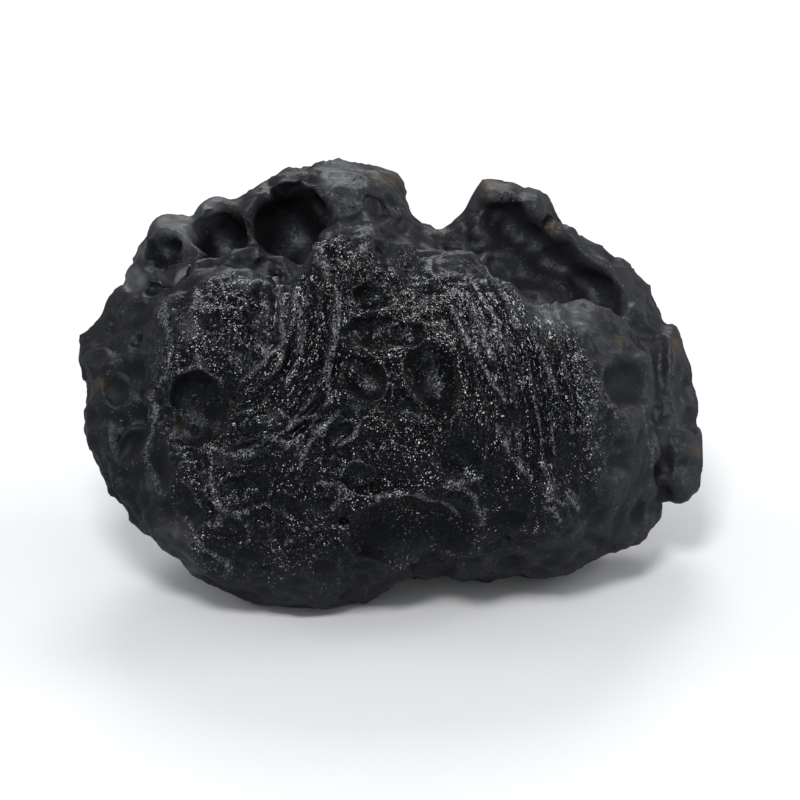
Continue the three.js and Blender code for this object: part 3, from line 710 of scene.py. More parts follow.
@dataclass
class Surface:
    """The stone with its ridges, grooves, pits and bumps, standing on its feet."""

    stone: BareStone = field(default_factory=BareStone)
    marks: list[Lobe | Strand] = field(default_factory=list)
    bubbles: list[Lobe] = field(default_factory=list)
    ridge_blend: float = 0.45
    groove_blend: float = 0.4
    bump_blend: float = 0.35
    foot_blend: float = 0.12
    walk: int = 80                   # steps that a point takes to the marked surface
    stride: float = 0.6              # share of the way that it dares
    large_spread: Spread = Spread(20177, 130, 1.0, 2.8, 1.6, 0.40, 0.25, 0.2, 1.5)
    small_spread: Spread = Spread(4711, 620, 0.34, 1.0, 1.8, 0.30, 0.35, 0.12, 2.5, 0.42,
                                  clearance=0.3)

    def mark(self) -> None:
        """Works out every mark, in the order in which it is made."""
        self.marks += self.strands(RIDGES, self.ridge_blend, Effect.ADDS)
        self.marks += self.strands(GROOVES, self.groove_blend, Effect.CUTS)
        places, normals = self.stone.behind(np.array([row[:2] for row in PITS]))
        named, taken = [], []
        for row, at, normal in zip(PITS, places, normals):
            _, _, half_width, half_height, depth, roll, blend = row
            named.append(pit(at, normal, (half_width, half_height), depth, roll, blend))
            taken.append((at, max(half_width, half_height)))
        large = self.large_spread.pits(self.stone, taken)
        small = self.small_spread.pits(self.stone, taken)
        self.bubbles = named + large
        self.marks += named + large + small + self.swellings()

    def strands(self, rows: tuple, blend: float, effect: Effect) -> list[Strand]:
        """Lays lines of bars on the surface.

        Args:
            rows: Radius, depth of the centre line, and points of each line.
            blend: Width of their blend.
            effect: Whether they add glass or cut it.

        Returns:
            One bar for each stretch.
        """
        found = []
        for radius, sunk, spots in rows:
            points, normals = self.stone.behind(np.array(spots))
            line = points - normals * sunk
            found += [Strand(tuple(a), tuple(b), radius, blend, effect)
                      for a, b in zip(line[:-1], line[1:])]
        return found

    def swellings(self) -> list[Lobe]:
        """The small bumps, each set on the bottom of whatever pit it stands in.

        Returns:
            The balls that show as bumps.
        """
        found = []
        for u, v, radius, proud in BUMPS:
            at = self.drop(np.array([[u, v]]))
            normal = unit(self.slope(at, self.near(at)))[0]
            centre = tuple(at[0] - normal * (radius - proud))
            found.append(Lobe(centre, (radius, radius, radius), 0.0, self.bump_blend))
        return found

    def drop(self, spots: Array) -> Array:
        """Surface points, marks included, straight behind places on the show face.

        Args:
            spots: Places (u, v), one to a row.

        Returns:
            The points, one to a row.
        """
        points = np.column_stack([spots, np.full(len(spots), START_AWAY)])
        for _ in range(self.walk):
            step = np.clip(self.distance(points, self.near(points)) * self.stride, 0.0, LONGEST_STEP)
            points[:, 2] -= step
        return points

    def near(self, points: Array, finest: float = 0.0, margin: float = 0.8) -> list[Array]:
        """For each mark, which of the points it can touch.

        Args:
            points: Points in the face frame, one to a row.
            finest: Marks that reach less far than this are left out.
            margin: How much further than its reach a mark is felt.

        Returns:
            One array of point numbers for each mark.
        """
        found = []
        for mark in self.marks:
            reach = mark.reach + mark.blend + margin
            if mark.reach < finest:
                found.append(np.empty(0, int))
                continue
            box = np.nonzero(np.abs(points[:, 0] - mark.middle[0]) < reach)[0]
            box = box[np.abs(points[box] - mark.middle).max(axis=1) < reach]
            found.append(box)
        return found

    def distance(self, points: Array, near: list[Array]) -> Array:
        """Distance-like field of the marked stone.

        Args:
            points: Points in the face frame, one to a row.
            near: Which points each mark can touch.

        Returns:
            Distances in millimetres, negative inside.
        """
        d = self.stone.distance(points)
        bent = points + self.wander(points)
        for mark, index in zip(self.marks, near):
            if not index.size:
                continue
            own = mark.distance(bent[index])
            if mark.effect is Effect.ADDS:
                d[index] = smooth_min(d[index], own, mark.blend)
            else:
                d[index] = smooth_max(d[index], -own, mark.blend)
        return smooth_max(d, -height_of(points), self.foot_blend)

    @staticmethod
    def wander(points: Array) -> Array:
        """How far each mark is bent out of its plain form there, in millimetres."""
        return bends(points, MARK_BENDS)

    def slope(self, points: Array, near: list[Array], step: float = 0.03) -> Array:
        """The field's slope by differences, taken from each point forwards.

        Args:
            points: Points in the face frame, one to a row.
            near: Which points each mark can touch.
            step: How far the differences reach.

        Returns:
            One vector to a row.
        """
        here = self.distance(points, near)
        sides = [self.distance(points + move, near) - here for move in np.eye(3) * step]
        return np.stack(sides, axis=1) / step


# ---------------------------------------------------------------------------------- the skin

@dataclass
class Skin:
    """The closed net of triangles that is drawn tight over the stone."""

    parts: int = 24
    rounds: tuple[int, ...] = (60, 16, 10)
    settle: int = 4
    crowding: float = 1.1            # how much harder the show face draws the points
    sideways: float = 0.5            # share of the way that a point slides towards its neighbours
    longest: float = 0.5             # the longest step onto the surface
    probe: float = 0.03              # how far off the slope is felt
    least_slope: float = 0.2         # squared; keeps steps short where the field is flat
    face: Spot = (-1.0, 4.0)         # where the show face's pull begins, and is whole
    finest: float = 0.4              # marks below this share of the spacing are left out
    margin: Spot = (0.5, 0.5)        # how far marks are felt, plus this share of the spacing
    own: float = 0.5                 # a point's own share when numbers are evened
    spread: float = 24.0             # a ball edge's length on the stone, before it is cut into parts
    towards_face: float = 0.35       # how much closer together the points lie on the show face
    points: Array = field(default_factory=lambda: np.empty((0, 3)))
    faces: Array = field(default_factory=lambda: np.empty((0, 3), int))

    def weave(self) -> None:
        """Makes the first ball: an icosahedron with every edge cut into equal parts."""
        golden = (1.0 + math.sqrt(5.0)) / 2.0
        corners = [(-1, golden, 0), (1, golden, 0), (-1, -golden, 0), (1, -golden, 0),
                   (0, -1, golden), (0, 1, golden), (0, -1, -golden), (0, 1, -golden),
                   (golden, 0, -1), (golden, 0, 1), (-golden, 0, -1), (-golden, 0, 1)]
        sides = [(0, 11, 5), (0, 5, 1), (0, 1, 7), (0, 7, 10), (0, 10, 11), (1, 5, 9), (5, 11, 4),
                 (11, 10, 2), (10, 7, 6), (7, 1, 8), (3, 9, 4), (3, 4, 2), (3, 2, 6), (3, 6, 8),
                 (3, 8, 9), (4, 9, 5), (2, 4, 11), (6, 2, 10), (8, 6, 7), (9, 8, 1)]
        places, faces = [], []
        for a, b, c in (np.array([corners[i] for i in side], float) for side in sides):
            first = len(places)
            number = {}
            for row in range(self.parts + 1):
                for column in range(self.parts + 1 - row):
                    number[row, column] = first + len(number)
                    places.append(a + (b - a) * column / self.parts + (c - a) * row / self.parts)
            for row in range(self.parts):
                for column in range(self.parts - row):
                    faces.append((number[row, column], number[row, column + 1], number[row + 1, column]))
                    if column + row < self.parts - 1:
                        faces.append((number[row, column + 1], number[row + 1, column + 1],
                                      number[row + 1, column]))
        merged, where = np.unique(np.round(np.array(places), 6), axis=0, return_inverse=True)
        outward = unit(merged)
        outward[:, 2] += self.towards_face
        self.points = unit(outward)
        self.faces = where.ravel()[np.array(faces)]

    def halve(self) -> None:
        """Cuts every triangle into four."""
        edges, where = np.unique(np.sort(self.edges(), axis=1), axis=0, return_inverse=True)
        ab, bc, ca = (where.ravel().reshape(-1, 3) + len(self.points)).T
        a, b, c = self.faces.T
        self.points = np.vstack([self.points, self.points[edges].mean(axis=1)])
        self.faces = np.concatenate([np.stack(t, axis=1) for t in (
            (a, ab, ca), (ab, b, bc), (ca, bc, c), (ab, bc, ca))])

    def edges(self) -> Array:
        """Every edge both ways, one to a row."""
        return self.faces[:, [[0, 1], [1, 2], [2, 0]]].reshape(-1, 2)

    def middles(self, edges: Array, weights: Array) -> Array:
        """The weighted middle of each point's neighbours.

        Args:
            edges: Every edge both ways.
            weights: How strongly each point draws its neighbours.

        Returns:
            One place to a row.
        """
        here, other = edges.T
        pull = weights[other]
        count = len(self.points)
        total = np.bincount(here, pull, count)
        sums = [np.bincount(here, pull * self.points[other, axis], count) for axis in range(3)]
        return np.stack(sums, axis=1) / total[:, None]

    def tighten(self, surface: Surface) -> None:
        """Draws the net onto the surface, from coarse to fine.

        Args:
            surface: The marked stone.
        """
        self.weave()
        away = self.points
        self.points = surface.stone.reach_surface(np.array(CORE) + away * START_AWAY, -away)
        for level, rounds in enumerate(self.rounds):
            if level:
                self.halve()
            spacing = self.spread / (self.parts * 2 ** level)
            near = surface.near(self.points, finest=spacing * self.finest,
                                margin=self.margin[0] + spacing * self.margin[1])
            edges = self.edges()
            last = level == len(self.rounds) - 1
            for i in range(rounds + (self.settle if last else 0)):
                self.move(surface, near, edges, self.sideways if i < rounds else 0.0)

    def move(self, surface: Surface, near: list[Array], edges: Array, sideways: float) -> None:
        """Moves each point onto the surface and along it towards its neighbours' middle.

        Args:
            surface: The marked stone.
            near: Which points each mark can touch.
            edges: Every edge both ways.
            sideways: Share of the way to the neighbours' middle.
        """
        level = surface.distance(self.points, near)
        slope = np.stack([surface.distance(self.points + move, near) - level
                          for move in np.eye(3) * self.probe], axis=1) / self.probe
        steep = np.maximum((slope ** 2).sum(axis=1), self.least_slope)
        normals = unit(slope)
        onto = np.clip(level / np.sqrt(steep), -self.longest, self.longest)
        self.points = self.points - normals * onto[:, None]
        if sideways:
            face = soft_step(surface.stone.rim_behind(self.points), *self.face)
            pull = self.middles(edges, 1.0 + self.crowding * face) - self.points
            pull -= (pull * normals).sum(axis=1, keepdims=True) * normals
            self.points = self.points + sideways * pull

    def outward(self) -> Array:
        """How far each point stands out from its neighbours' middle, in millimetres."""
        bend = self.middles(self.edges(), np.ones(len(self.points))) - self.points
        return -(bend * self.normals()).sum(axis=1)

    def evened(self, values: Array, rounds: int) -> Array:
        """Numbers at the points, each averaged with its neighbours' a few times.

        Args:
            values: One number for each point.
            rounds: How many times.

        Returns:
            The evened numbers.
        """
        here, other = self.edges().T
        count = len(self.points)
        share = np.bincount(here, minlength=count)
        for _ in range(rounds):
            around = np.bincount(here, values[other], count) / share
            values = self.own * values + (1.0 - self.own) * around
        return values

    def normals(self) -> Array:
        """Unit normals at the points, from the triangles round them.

        Returns:
            One normal to a row.
        """
        a, b, c = (self.points[self.faces[:, i]] for i in range(3))
        flat = np.cross(b - a, c - a)
        total = np.zeros_like(self.points)
        for corner in range(3):
            for axis in range(3):
                total[:, axis] += np.bincount(self.faces[:, corner], flat[:, axis], len(total))
        return unit(total)


# ---------------------------------------------------------------------------------- fine relief

class Patch(Enum):
    """Where in the noise each use of it is taken, so that no two look alike."""

    WAVER = 31.0
    STRENGTH = 57.0
    CLOUDS = 11.0
    GRIT = 5.0
    BACK_WAVER = 83.0
    BACK_STRENGTH = 91.0
    RAGGED = 71.0
    BROKEN = 17.0


@dataclass(frozen=True)
class Grain:
    """Repeatable noise in space."""

    seed: int
    primes: tuple[int, int, int] = (73856093, 19349663, 83492791)
    salt_prime: int = 7919
    seed_prime: int = 2654435761
    stirs: tuple[int, int] = (1274126177, 1103515245)
    shifts: tuple[int, int, int] = (13, 15, 12)
    positive: int = 0x7FFFFFFF
    levels: int = 65536
    full_bowl: float = 0.7           # squared distance from its middle where a bowl counts as full
    bowl_salts: tuple[int, ...] = (6, 7, 8)
    cup_salts: tuple[int, ...] = (1, 2, 3)
    radius_salt: int = 4
    share_salt: int = 5

    def chance(self, cells: Array, salt: int = 0) -> Array:
        """A number from 0 to 1 for each cell of a grid.

        Args:
            cells: Whole-number cells, one to a row.
            salt: Gives another number for the same cell.

        Returns:
            The numbers.
        """
        u, v, w = (cells[:, axis].astype(np.int64) for axis in range(3))
        mixed = u * self.primes[0] ^ v * self.primes[1] ^ w * self.primes[2]
        mixed = mixed ^ (self.seed + self.salt_prime * salt) * self.seed_prime
        for shift, stir in zip(self.shifts, self.stirs):
            mixed = (mixed ^ (mixed >> shift)) * stir & self.positive
        return (mixed ^ (mixed >> self.shifts[-1])) % self.levels / (self.levels - 1.0)

    def cloud(self, points: Array, size: float) -> Array:
        """Smooth noise from -1 to 1.

        Args:
            points: Points, one to a row.
            size: How wide its features are.

        Returns:
            One number for each point.
        """
        scaled = points / size
        base = np.floor(scaled)
        part = scaled - base
        fade = part * part * (3.0 - 2.0 * part)
        total = np.zeros(len(points))
        for corner in np.ndindex(2, 2, 2):
            share = np.prod(np.where(corner, fade, 1.0 - fade), axis=1)
            total += share * self.chance(base + corner)
        return 2.0 * total - 1.0

    def bowls(self, points: Array, size: float) -> Array:
        """Shallow bowls side by side that meet in sharp ridges.

        Args:
            points: Points, one to a row.
            size: How wide the bowls are.

        Returns:
            Height at each point, 0 in the middle of a bowl and about 1 on the highest ridges.
        """
        base = np.floor(points / size)
        nearest = np.full(len(points), np.inf)
        for offset in np.ndindex(3, 3, 3):
            cell = base + np.array(offset) - 1.0
            middle = cell + np.stack([self.chance(cell, salt) for salt in self.bowl_salts], axis=1)
            nearest = np.minimum(nearest, ((points / size - middle) ** 2).sum(axis=1))
        return nearest / self.full_bowl

    def cups(self, points: Array, size: float, share: float, radii: Spot) -> Array:
        """Round cups scattered through space.

        Args:
            points: Points, one to a row.
            size: Width of the cells, one cup to a cell at most.
            share: Share of the cells that have one.
            radii: Least and greatest radius, as shares of a cell.

        Returns:
            Depth at each point, from 0 outside every cup to 1 in the middle of one.
        """
        base = np.floor(points / size)
        deepest = np.zeros(len(points))
        for offset in np.ndindex(3, 3, 3):
            cell = base + np.array(offset) - 1.0
            middle = cell + np.stack([self.chance(cell, salt) for salt in self.cup_salts], axis=1)
            radius = radii[0] + (radii[1] - radii[0]) * self.chance(cell, self.radius_salt) ** 2
            off = np.linalg.norm(points / size - middle, axis=1) / radius
            depth = np.sqrt(np.maximum(1.0 - off * off, 0.0)) * radius / radii[1]
            chosen = self.chance(cell, self.share_salt) < share
            deepest = np.maximum(deepest, np.where(chosen, depth, 0.0))
        return deepest


@dataclass(frozen=True)
class FlowBundle:
    """Flow lines left in the molten glass: arcs about one centre, some straight above it."""

    centre: Spot
    band: Spot                       # radii between which they run
    middle: Spot                     # middle of the patch that they fill
    spread: Spot                     # its half width and half height
    spacing: float
    height: float
    straight: bool = False           # whether the lines run straight up above the centre
    beat: float = 1.62               # how much wider the second set of lines is spaced
    lag: float = 1.0                 # how far that set starts behind the first
    form: Point = (0.5, 0.31, 0.19)  # the lines' mean, and the heights of the two sets
    sharpness: float = 1.5
    level: float = 0.4               # how far the whole is lowered, so that it cuts as much as it adds
    soft: float = 0.8                # how gradually the band starts and ends
    fade: Spot = (0.7, 1.2)          # where the patch begins to fade and is gone, in its half sizes
    worn_off: Spot = (0.05, 0.55)    # freshness at which the lines show, and are whole
    wander: Spot = (0.40, 3.6)       # how far the lines stray, in spacings, and how gradually
    waver: Spot = (0.06, 1.5)        # the same, finer
    strength: Spot = (0.85, 0.5)     # the lines' mean strength, and how much it changes
    strength_size: float = 3.0

    def paths(self, points: Array) -> tuple[Array, Array]:
        """Places across and along the lines.

        Args:
            points: Points in the face frame, one to a row.

        Returns:
            Distance from the centre and length of arc, in millimetres.
        """
        du, dv = points[:, 0] - self.centre[0], points[:, 1] - self.centre[1]
        above = np.maximum(dv, 0.0) if self.straight else np.zeros(len(points))
        across = np.hypot(du, dv - above)
        return across, np.arctan2(dv - above, du) * np.mean(self.band) + above

    def mask(self, points: Array, fresh: Array) -> Array:
        """Where the lines are.

        Args:
            points: Points in the face frame, one to a row.
            fresh: How little the glass is worn.

        Returns:
            Numbers from 0 to 1.
        """
        radius, _ = self.paths(points)
        inside = soft_step(radius, self.band[0] - self.soft, self.band[0] + self.soft)
        inside *= 1.0 - soft_step(radius, self.band[1] - self.soft, self.band[1] + self.soft)
        away = np.hypot((points[:, 0] - self.middle[0]) / self.spread[0],
                        (points[:, 1] - self.middle[1]) / self.spread[1])
        return inside * (1.0 - soft_step(away, *self.fade)) * soft_step(fresh, *self.worn_off)

    def lines(self, points: Array, grain: Grain) -> Array:
        """The lines' height.

        Args:
            points: Points in the face frame, one to a row.
            grain: Noise that bends and breaks them.

        Returns:
            Heights in millimetres, before the mask.
        """
        radius, _ = self.paths(points)
        stray = (self.wander[0] * grain.cloud(points, self.wander[1])
                 + self.waver[0] * grain.cloud(points + Patch.WAVER.value, self.waver[1]))
        turns = 2 * math.pi * (radius / self.spacing + stray)
        mean, first, second = self.form
        ripple = mean + first * np.cos(turns) + second * np.cos(turns / self.beat + self.lag)
        change = grain.cloud(points + Patch.STRENGTH.value, self.strength_size)
        strength = self.strength[0] + self.strength[1] * change
        return self.height * strength * (np.maximum(ripple, 0.0) ** self.sharpness - self.level)


@dataclass
class Relief:
    """The fine relief of the glass, moved along the normals after the skin is tight."""

    grain: Grain = Grain(907)
    bundles: tuple[FlowBundle, ...] = (
        FlowBundle((-12.1, 3.9), (3.4, 9.4), (-7.0, 1.8), (5.8, 8.2), 1.05, 0.68, True),
        FlowBundle((-16.4, -5.2), (21.9, 30.5), (8.6, 0.6), (5.6, 8.0), 0.80, 0.32),
        FlowBundle((-42.9, -16.8), (50.0, 60.0), (10.5, -8.4), (6.5, 5.0), 1.3, 0.22),
    )
    flow_edge: Spot = (0.0, 2.0)     # how far in front of the widest line the bundles fade in
    line_calm: float = 0.7           # share of the other relief that the lines take away
    line_grit: float = 0.5           # share of the grit that they take away
    back_spacing: float = 2.1
    back_height: float = 0.16
    back_way: Point = (0.5, 0.75, 0.35)
    back_wander: Spot = (0.5, 5.0)
    back_patch: float = 7.0
    back_span: Spot = (-0.2, 0.5)
    back_level: float = 0.6
    back_edge: Spot = (-4.0, 0.0)    # in front of the widest line: where the back's lines fade, and end
    clouds: tuple[Spot, ...] = ((3.1, 0.30), (1.7, 0.24), (0.95, 0.16), (0.55, 0.08))
    cloud_level: float = 0.55        # keeps the clouds' mean near nought
    cupules: tuple[Spot, ...] = ((3.0, 0.45), (1.5, 0.26))   # width and depth of the bowls
    cupule_level: float = 0.4
    cupule_bend: Spot = (0.45, 1.9)  # how far the bowls are bent, and how gradually
    bend_shifts: Point = (21.0, 42.0, 63.0)
    low: Spot = (-3.0, 5.0)          # how far below the middle they begin to deepen, and are deepest
    high_share: float = 0.45         # how deep they are on the upper face
    broad: float = 1.5               # forms wider than this are as deep where the glass is worn
    pock_depth: float = 0.20
    pocks: Point = (1.5, 0.18, 0.5)  # cell, least and greatest radius as shares of it
    pock_share: float = 0.55
    pock_fresh: float = 0.35         # share of their depth that fresh glass takes away
    grit_depth: float = 0.11
    grit: Point = (0.62, 0.25, 0.55)
    grit_share: float = 0.7
    smooth_out: Point = (0.85, 0.7, 0.6)     # what polish takes of the forms, the pocks and the grit
    worn_relief: float = 0.38        # share of the small relief that is left where the glass is worn

    def heights(self, points: Array, front: Array, polish: Array, fresh: Array) -> Array:
        """Height of the relief at each point.

        Args:
            points: Points on the surface, in the face frame.
            front: How far each point stands in front of the widest line.
            polish: How smooth the glass is there, from 0 to 1.
            fresh: How little it is worn, from 0 to 1.

        Returns:
            Heights in millimetres along the normals.
        """
        total = np.zeros(len(points))
        keen = self.worn_relief + (1.0 - self.worn_relief) * fresh
        rough, rough_pocks, rough_grit = (1.0 - share * polish for share in self.smooth_out)
        lined = np.zeros(len(points))
        facing = fresh * soft_step(front, *self.flow_edge)
        for bundle in self.bundles:
            mask = bundle.mask(points, facing)
            total += bundle.lines(points, self.grain) * mask * rough
            lined = np.maximum(lined, mask)
        calm = 1.0 - self.line_calm * lined
        for number, (size, height) in enumerate(self.clouds):
            noise = self.grain.cloud(points + Patch.CLOUDS.value * number, size)
            share = calm if size > self.broad else calm * keen
            total += height * (self.cloud_level - 2.0 * np.abs(noise)) * rough * share
        reach, gradual = self.cupule_bend
        bent = points + reach * np.stack([self.grain.cloud(points + shift, gradual)
                                          for shift in self.bend_shifts], axis=1)
        low = soft_step(-points[:, 1], *self.low)
        for size, height in self.cupules:
            bowls = np.minimum(self.grain.bowls(bent, size), 1.0)
            share = calm if size > self.broad else calm * keen
            deeper = self.high_share + (1.0 - self.high_share) * low
            total += height * (bowls - self.cupule_level) * rough * share * deeper
        total += self.back_lines(points) * (1.0 - soft_step(front, *self.back_edge)) * rough
        pocks = self.grain.cups(points, self.pocks[0], self.pock_share, self.pocks[1:])
        total -= self.pock_depth * pocks * (1.0 - self.pock_fresh * fresh) * rough_pocks * calm ** 2
        grit = self.grain.cups(points + Patch.GRIT.value, self.grit[0], self.grit_share, self.grit[1:])
        total -= self.grit_depth * grit * keen * (1.0 - self.line_grit * lined) * rough_grit
        return total

    def back_lines(self, points: Array) -> Array:
        """Broad, faint flow lines across the back.

        Args:
            points: Points on the surface, in the face frame.

        Returns:
            Heights in millimetres.
        """
        reach, gradual = self.back_wander
        wander = reach * self.grain.cloud(points + Patch.BACK_WAVER.value, gradual)
        phase = (points * self.back_way).sum(axis=1) / self.back_spacing + wander
        patch = self.grain.cloud(points + Patch.BACK_STRENGTH.value, self.back_patch)
        strength = soft_step(patch, *self.back_span)
        return self.back_height * strength * (np.abs(np.sin(math.pi * phase)) - self.back_level)


# ---------------------------------------------------------------------------------- finishes

@dataclass
class NodeBoard:
    """Places shader nodes in a tree and joins them up."""

    tree: bpy.types.NodeTree

    def node(self, kind: str, settings: dict[str, object] | None = None,
             **inputs: object) -> bpy.types.Node:
        """Makes one node.

        Args:
            kind: The node's type, without its "ShaderNode" start.
            settings: Properties of the node itself.
            inputs: Values or sockets for its inputs, by name or by "i" and number.

        Returns:
            The node.
        """
        made = self.tree.nodes.new(kind if kind.startswith("Node") else f"ShaderNode{kind}")
        for name, value in (settings or {}).items():
            setattr(made, name, value)
        for name, value in inputs.items():
            plain = name.replace("_", " ")
            number = name[1:]
            socket = made.inputs[int(number) if name[0] == "i" and number.isdigit() else plain]
            if isinstance(value, bpy.types.NodeSocket):
                self.tree.links.new(value, socket)
            else:
                socket.default_value = value
        return made

    def math(self, operation: str, *values: object) -> bpy.types.NodeSocket:
        """One sum, product or the like.

        Args:
            operation: The Math node's operation.
            values: Its inputs.

        Returns:
            The result's socket.
        """
        inputs = {f"i{number}": value for number, value in enumerate(values)}
        return self.node("Math", {"operation": operation}, **inputs).outputs[0]

    def ramp(self, value: object, low: float, high: float, to_low: float = 0.0,
             to_high: float = 1.0) -> bpy.types.NodeSocket:
        """A smooth change of range.

        Args:
            value: What is changed.
            low: Where the change starts.
            high: Where it ends.
            to_low: The result at the start.
            to_high: The result at the end.

        Returns:
            The result's socket.
        """
        return self.node("MapRange", {"interpolation_type": "SMOOTHSTEP"}, Value=value, From_Min=low,
                         From_Max=high, To_Min=to_low, To_Max=to_high).outputs[0]

    def mix(self, share: object, first: object, second: object) -> bpy.types.NodeSocket:
        """A blend of two colours.

        Args:
            share: How much of the second.
            first: The first colour.
            second: The second colour.

        Returns:
            The blend's socket.
        """
        made = self.node("Mix", {"data_type": "RGBA"}, i0=share, i6=first, i7=second)
        return made.outputs[2]

    def vector(self, operation: str, *values: object) -> bpy.types.NodeSocket:
        """The same for vectors.

        Args:
            operation: The Vector Math node's operation.
            values: Its inputs.

        Returns:
            The result's socket.
        """
        inputs = {f"i{number}": value for number, value in enumerate(values)}
        return self.node("VectorMath", {"operation": operation}, **inputs).outputs[0]

    def mix_values(self, share: object, first: object, second: object) -> bpy.types.NodeSocket:
        """A blend of two numbers.

        Args:
            share: How much of the second.
            first: The first number.
            second: The second number.

        Returns:
            The blend's socket.
        """
        return self.node("Mix", {"data_type": "FLOAT"}, i0=share, i2=first, i3=second).outputs[0]

    def scaled(self, value: object, share: object) -> bpy.types.NodeSocket:
        """A vector made longer or shorter."""
        return self.node("VectorMath", {"operation": "SCALE"}, i0=value, Scale=share).outputs[0]

    def value_of(self, attribute: str) -> bpy.types.NodeSocket:
        """A number kept at each of the mesh's points."""
        return self.node("Attribute", {"attribute_name": attribute}).outputs["Fac"]


def rgba(colour: Colour) -> tuple[float, float, float, float]:
    """A colour with its alpha."""
    return (*colour, 1.0)


@dataclass(frozen=True)
class EtchedGrain:
    """A node group: small facets that tilt a surface's normal this way and that."""

    name: str = "etched_grain"
    detail: float = 2.0
    roughness: float = 0.65
    stir: float = 1.3                # how far the facets' edges are stirred, in facets

    def group(self) -> bpy.types.ShaderNodeTree:
        """Builds the group, or gives the one that is there.

        Returns:
            The group.
        """
        if self.name in bpy.data.node_groups:
            return bpy.data.node_groups[self.name]
        tree = bpy.data.node_groups.new(self.name, "ShaderNodeTree")
        sockets = tree.interface
        for name, kind in (("Vector", "Vector"), ("Normal", "Vector"), ("Grain", "Float"),
                           ("Tilt", "Float")):
            sockets.new_socket(name, in_out="INPUT", socket_type=f"NodeSocket{kind}")
        sockets.new_socket("Normal", in_out="OUTPUT", socket_type="NodeSocketVector")
        board = NodeBoard(tree)
        given = board.node("NodeGroupInput").outputs
        fine = board.node("TexNoise", Vector=given["Vector"], Scale=given["Grain"],
                          Detail=self.detail, Roughness=self.roughness)
        stir = board.vector("SUBTRACT", fine.outputs["Color"], MID_GREY)
        reach = board.math("DIVIDE", self.stir, given["Grain"])
        stirred = board.vector("ADD", given["Vector"], board.scaled(stir, reach))
        facets = board.node("TexVoronoi", {"feature": "F1"}, Vector=stirred, Scale=given["Grain"],
                            Randomness=1.0).outputs["Color"]
        tilt = board.scaled(board.vector("SUBTRACT", facets, MID_GREY), given["Tilt"])
        normal = board.vector("NORMALIZE", board.vector("ADD", given["Normal"], tilt))
        board.node("NodeGroupOutput", Normal=normal)
        return tree


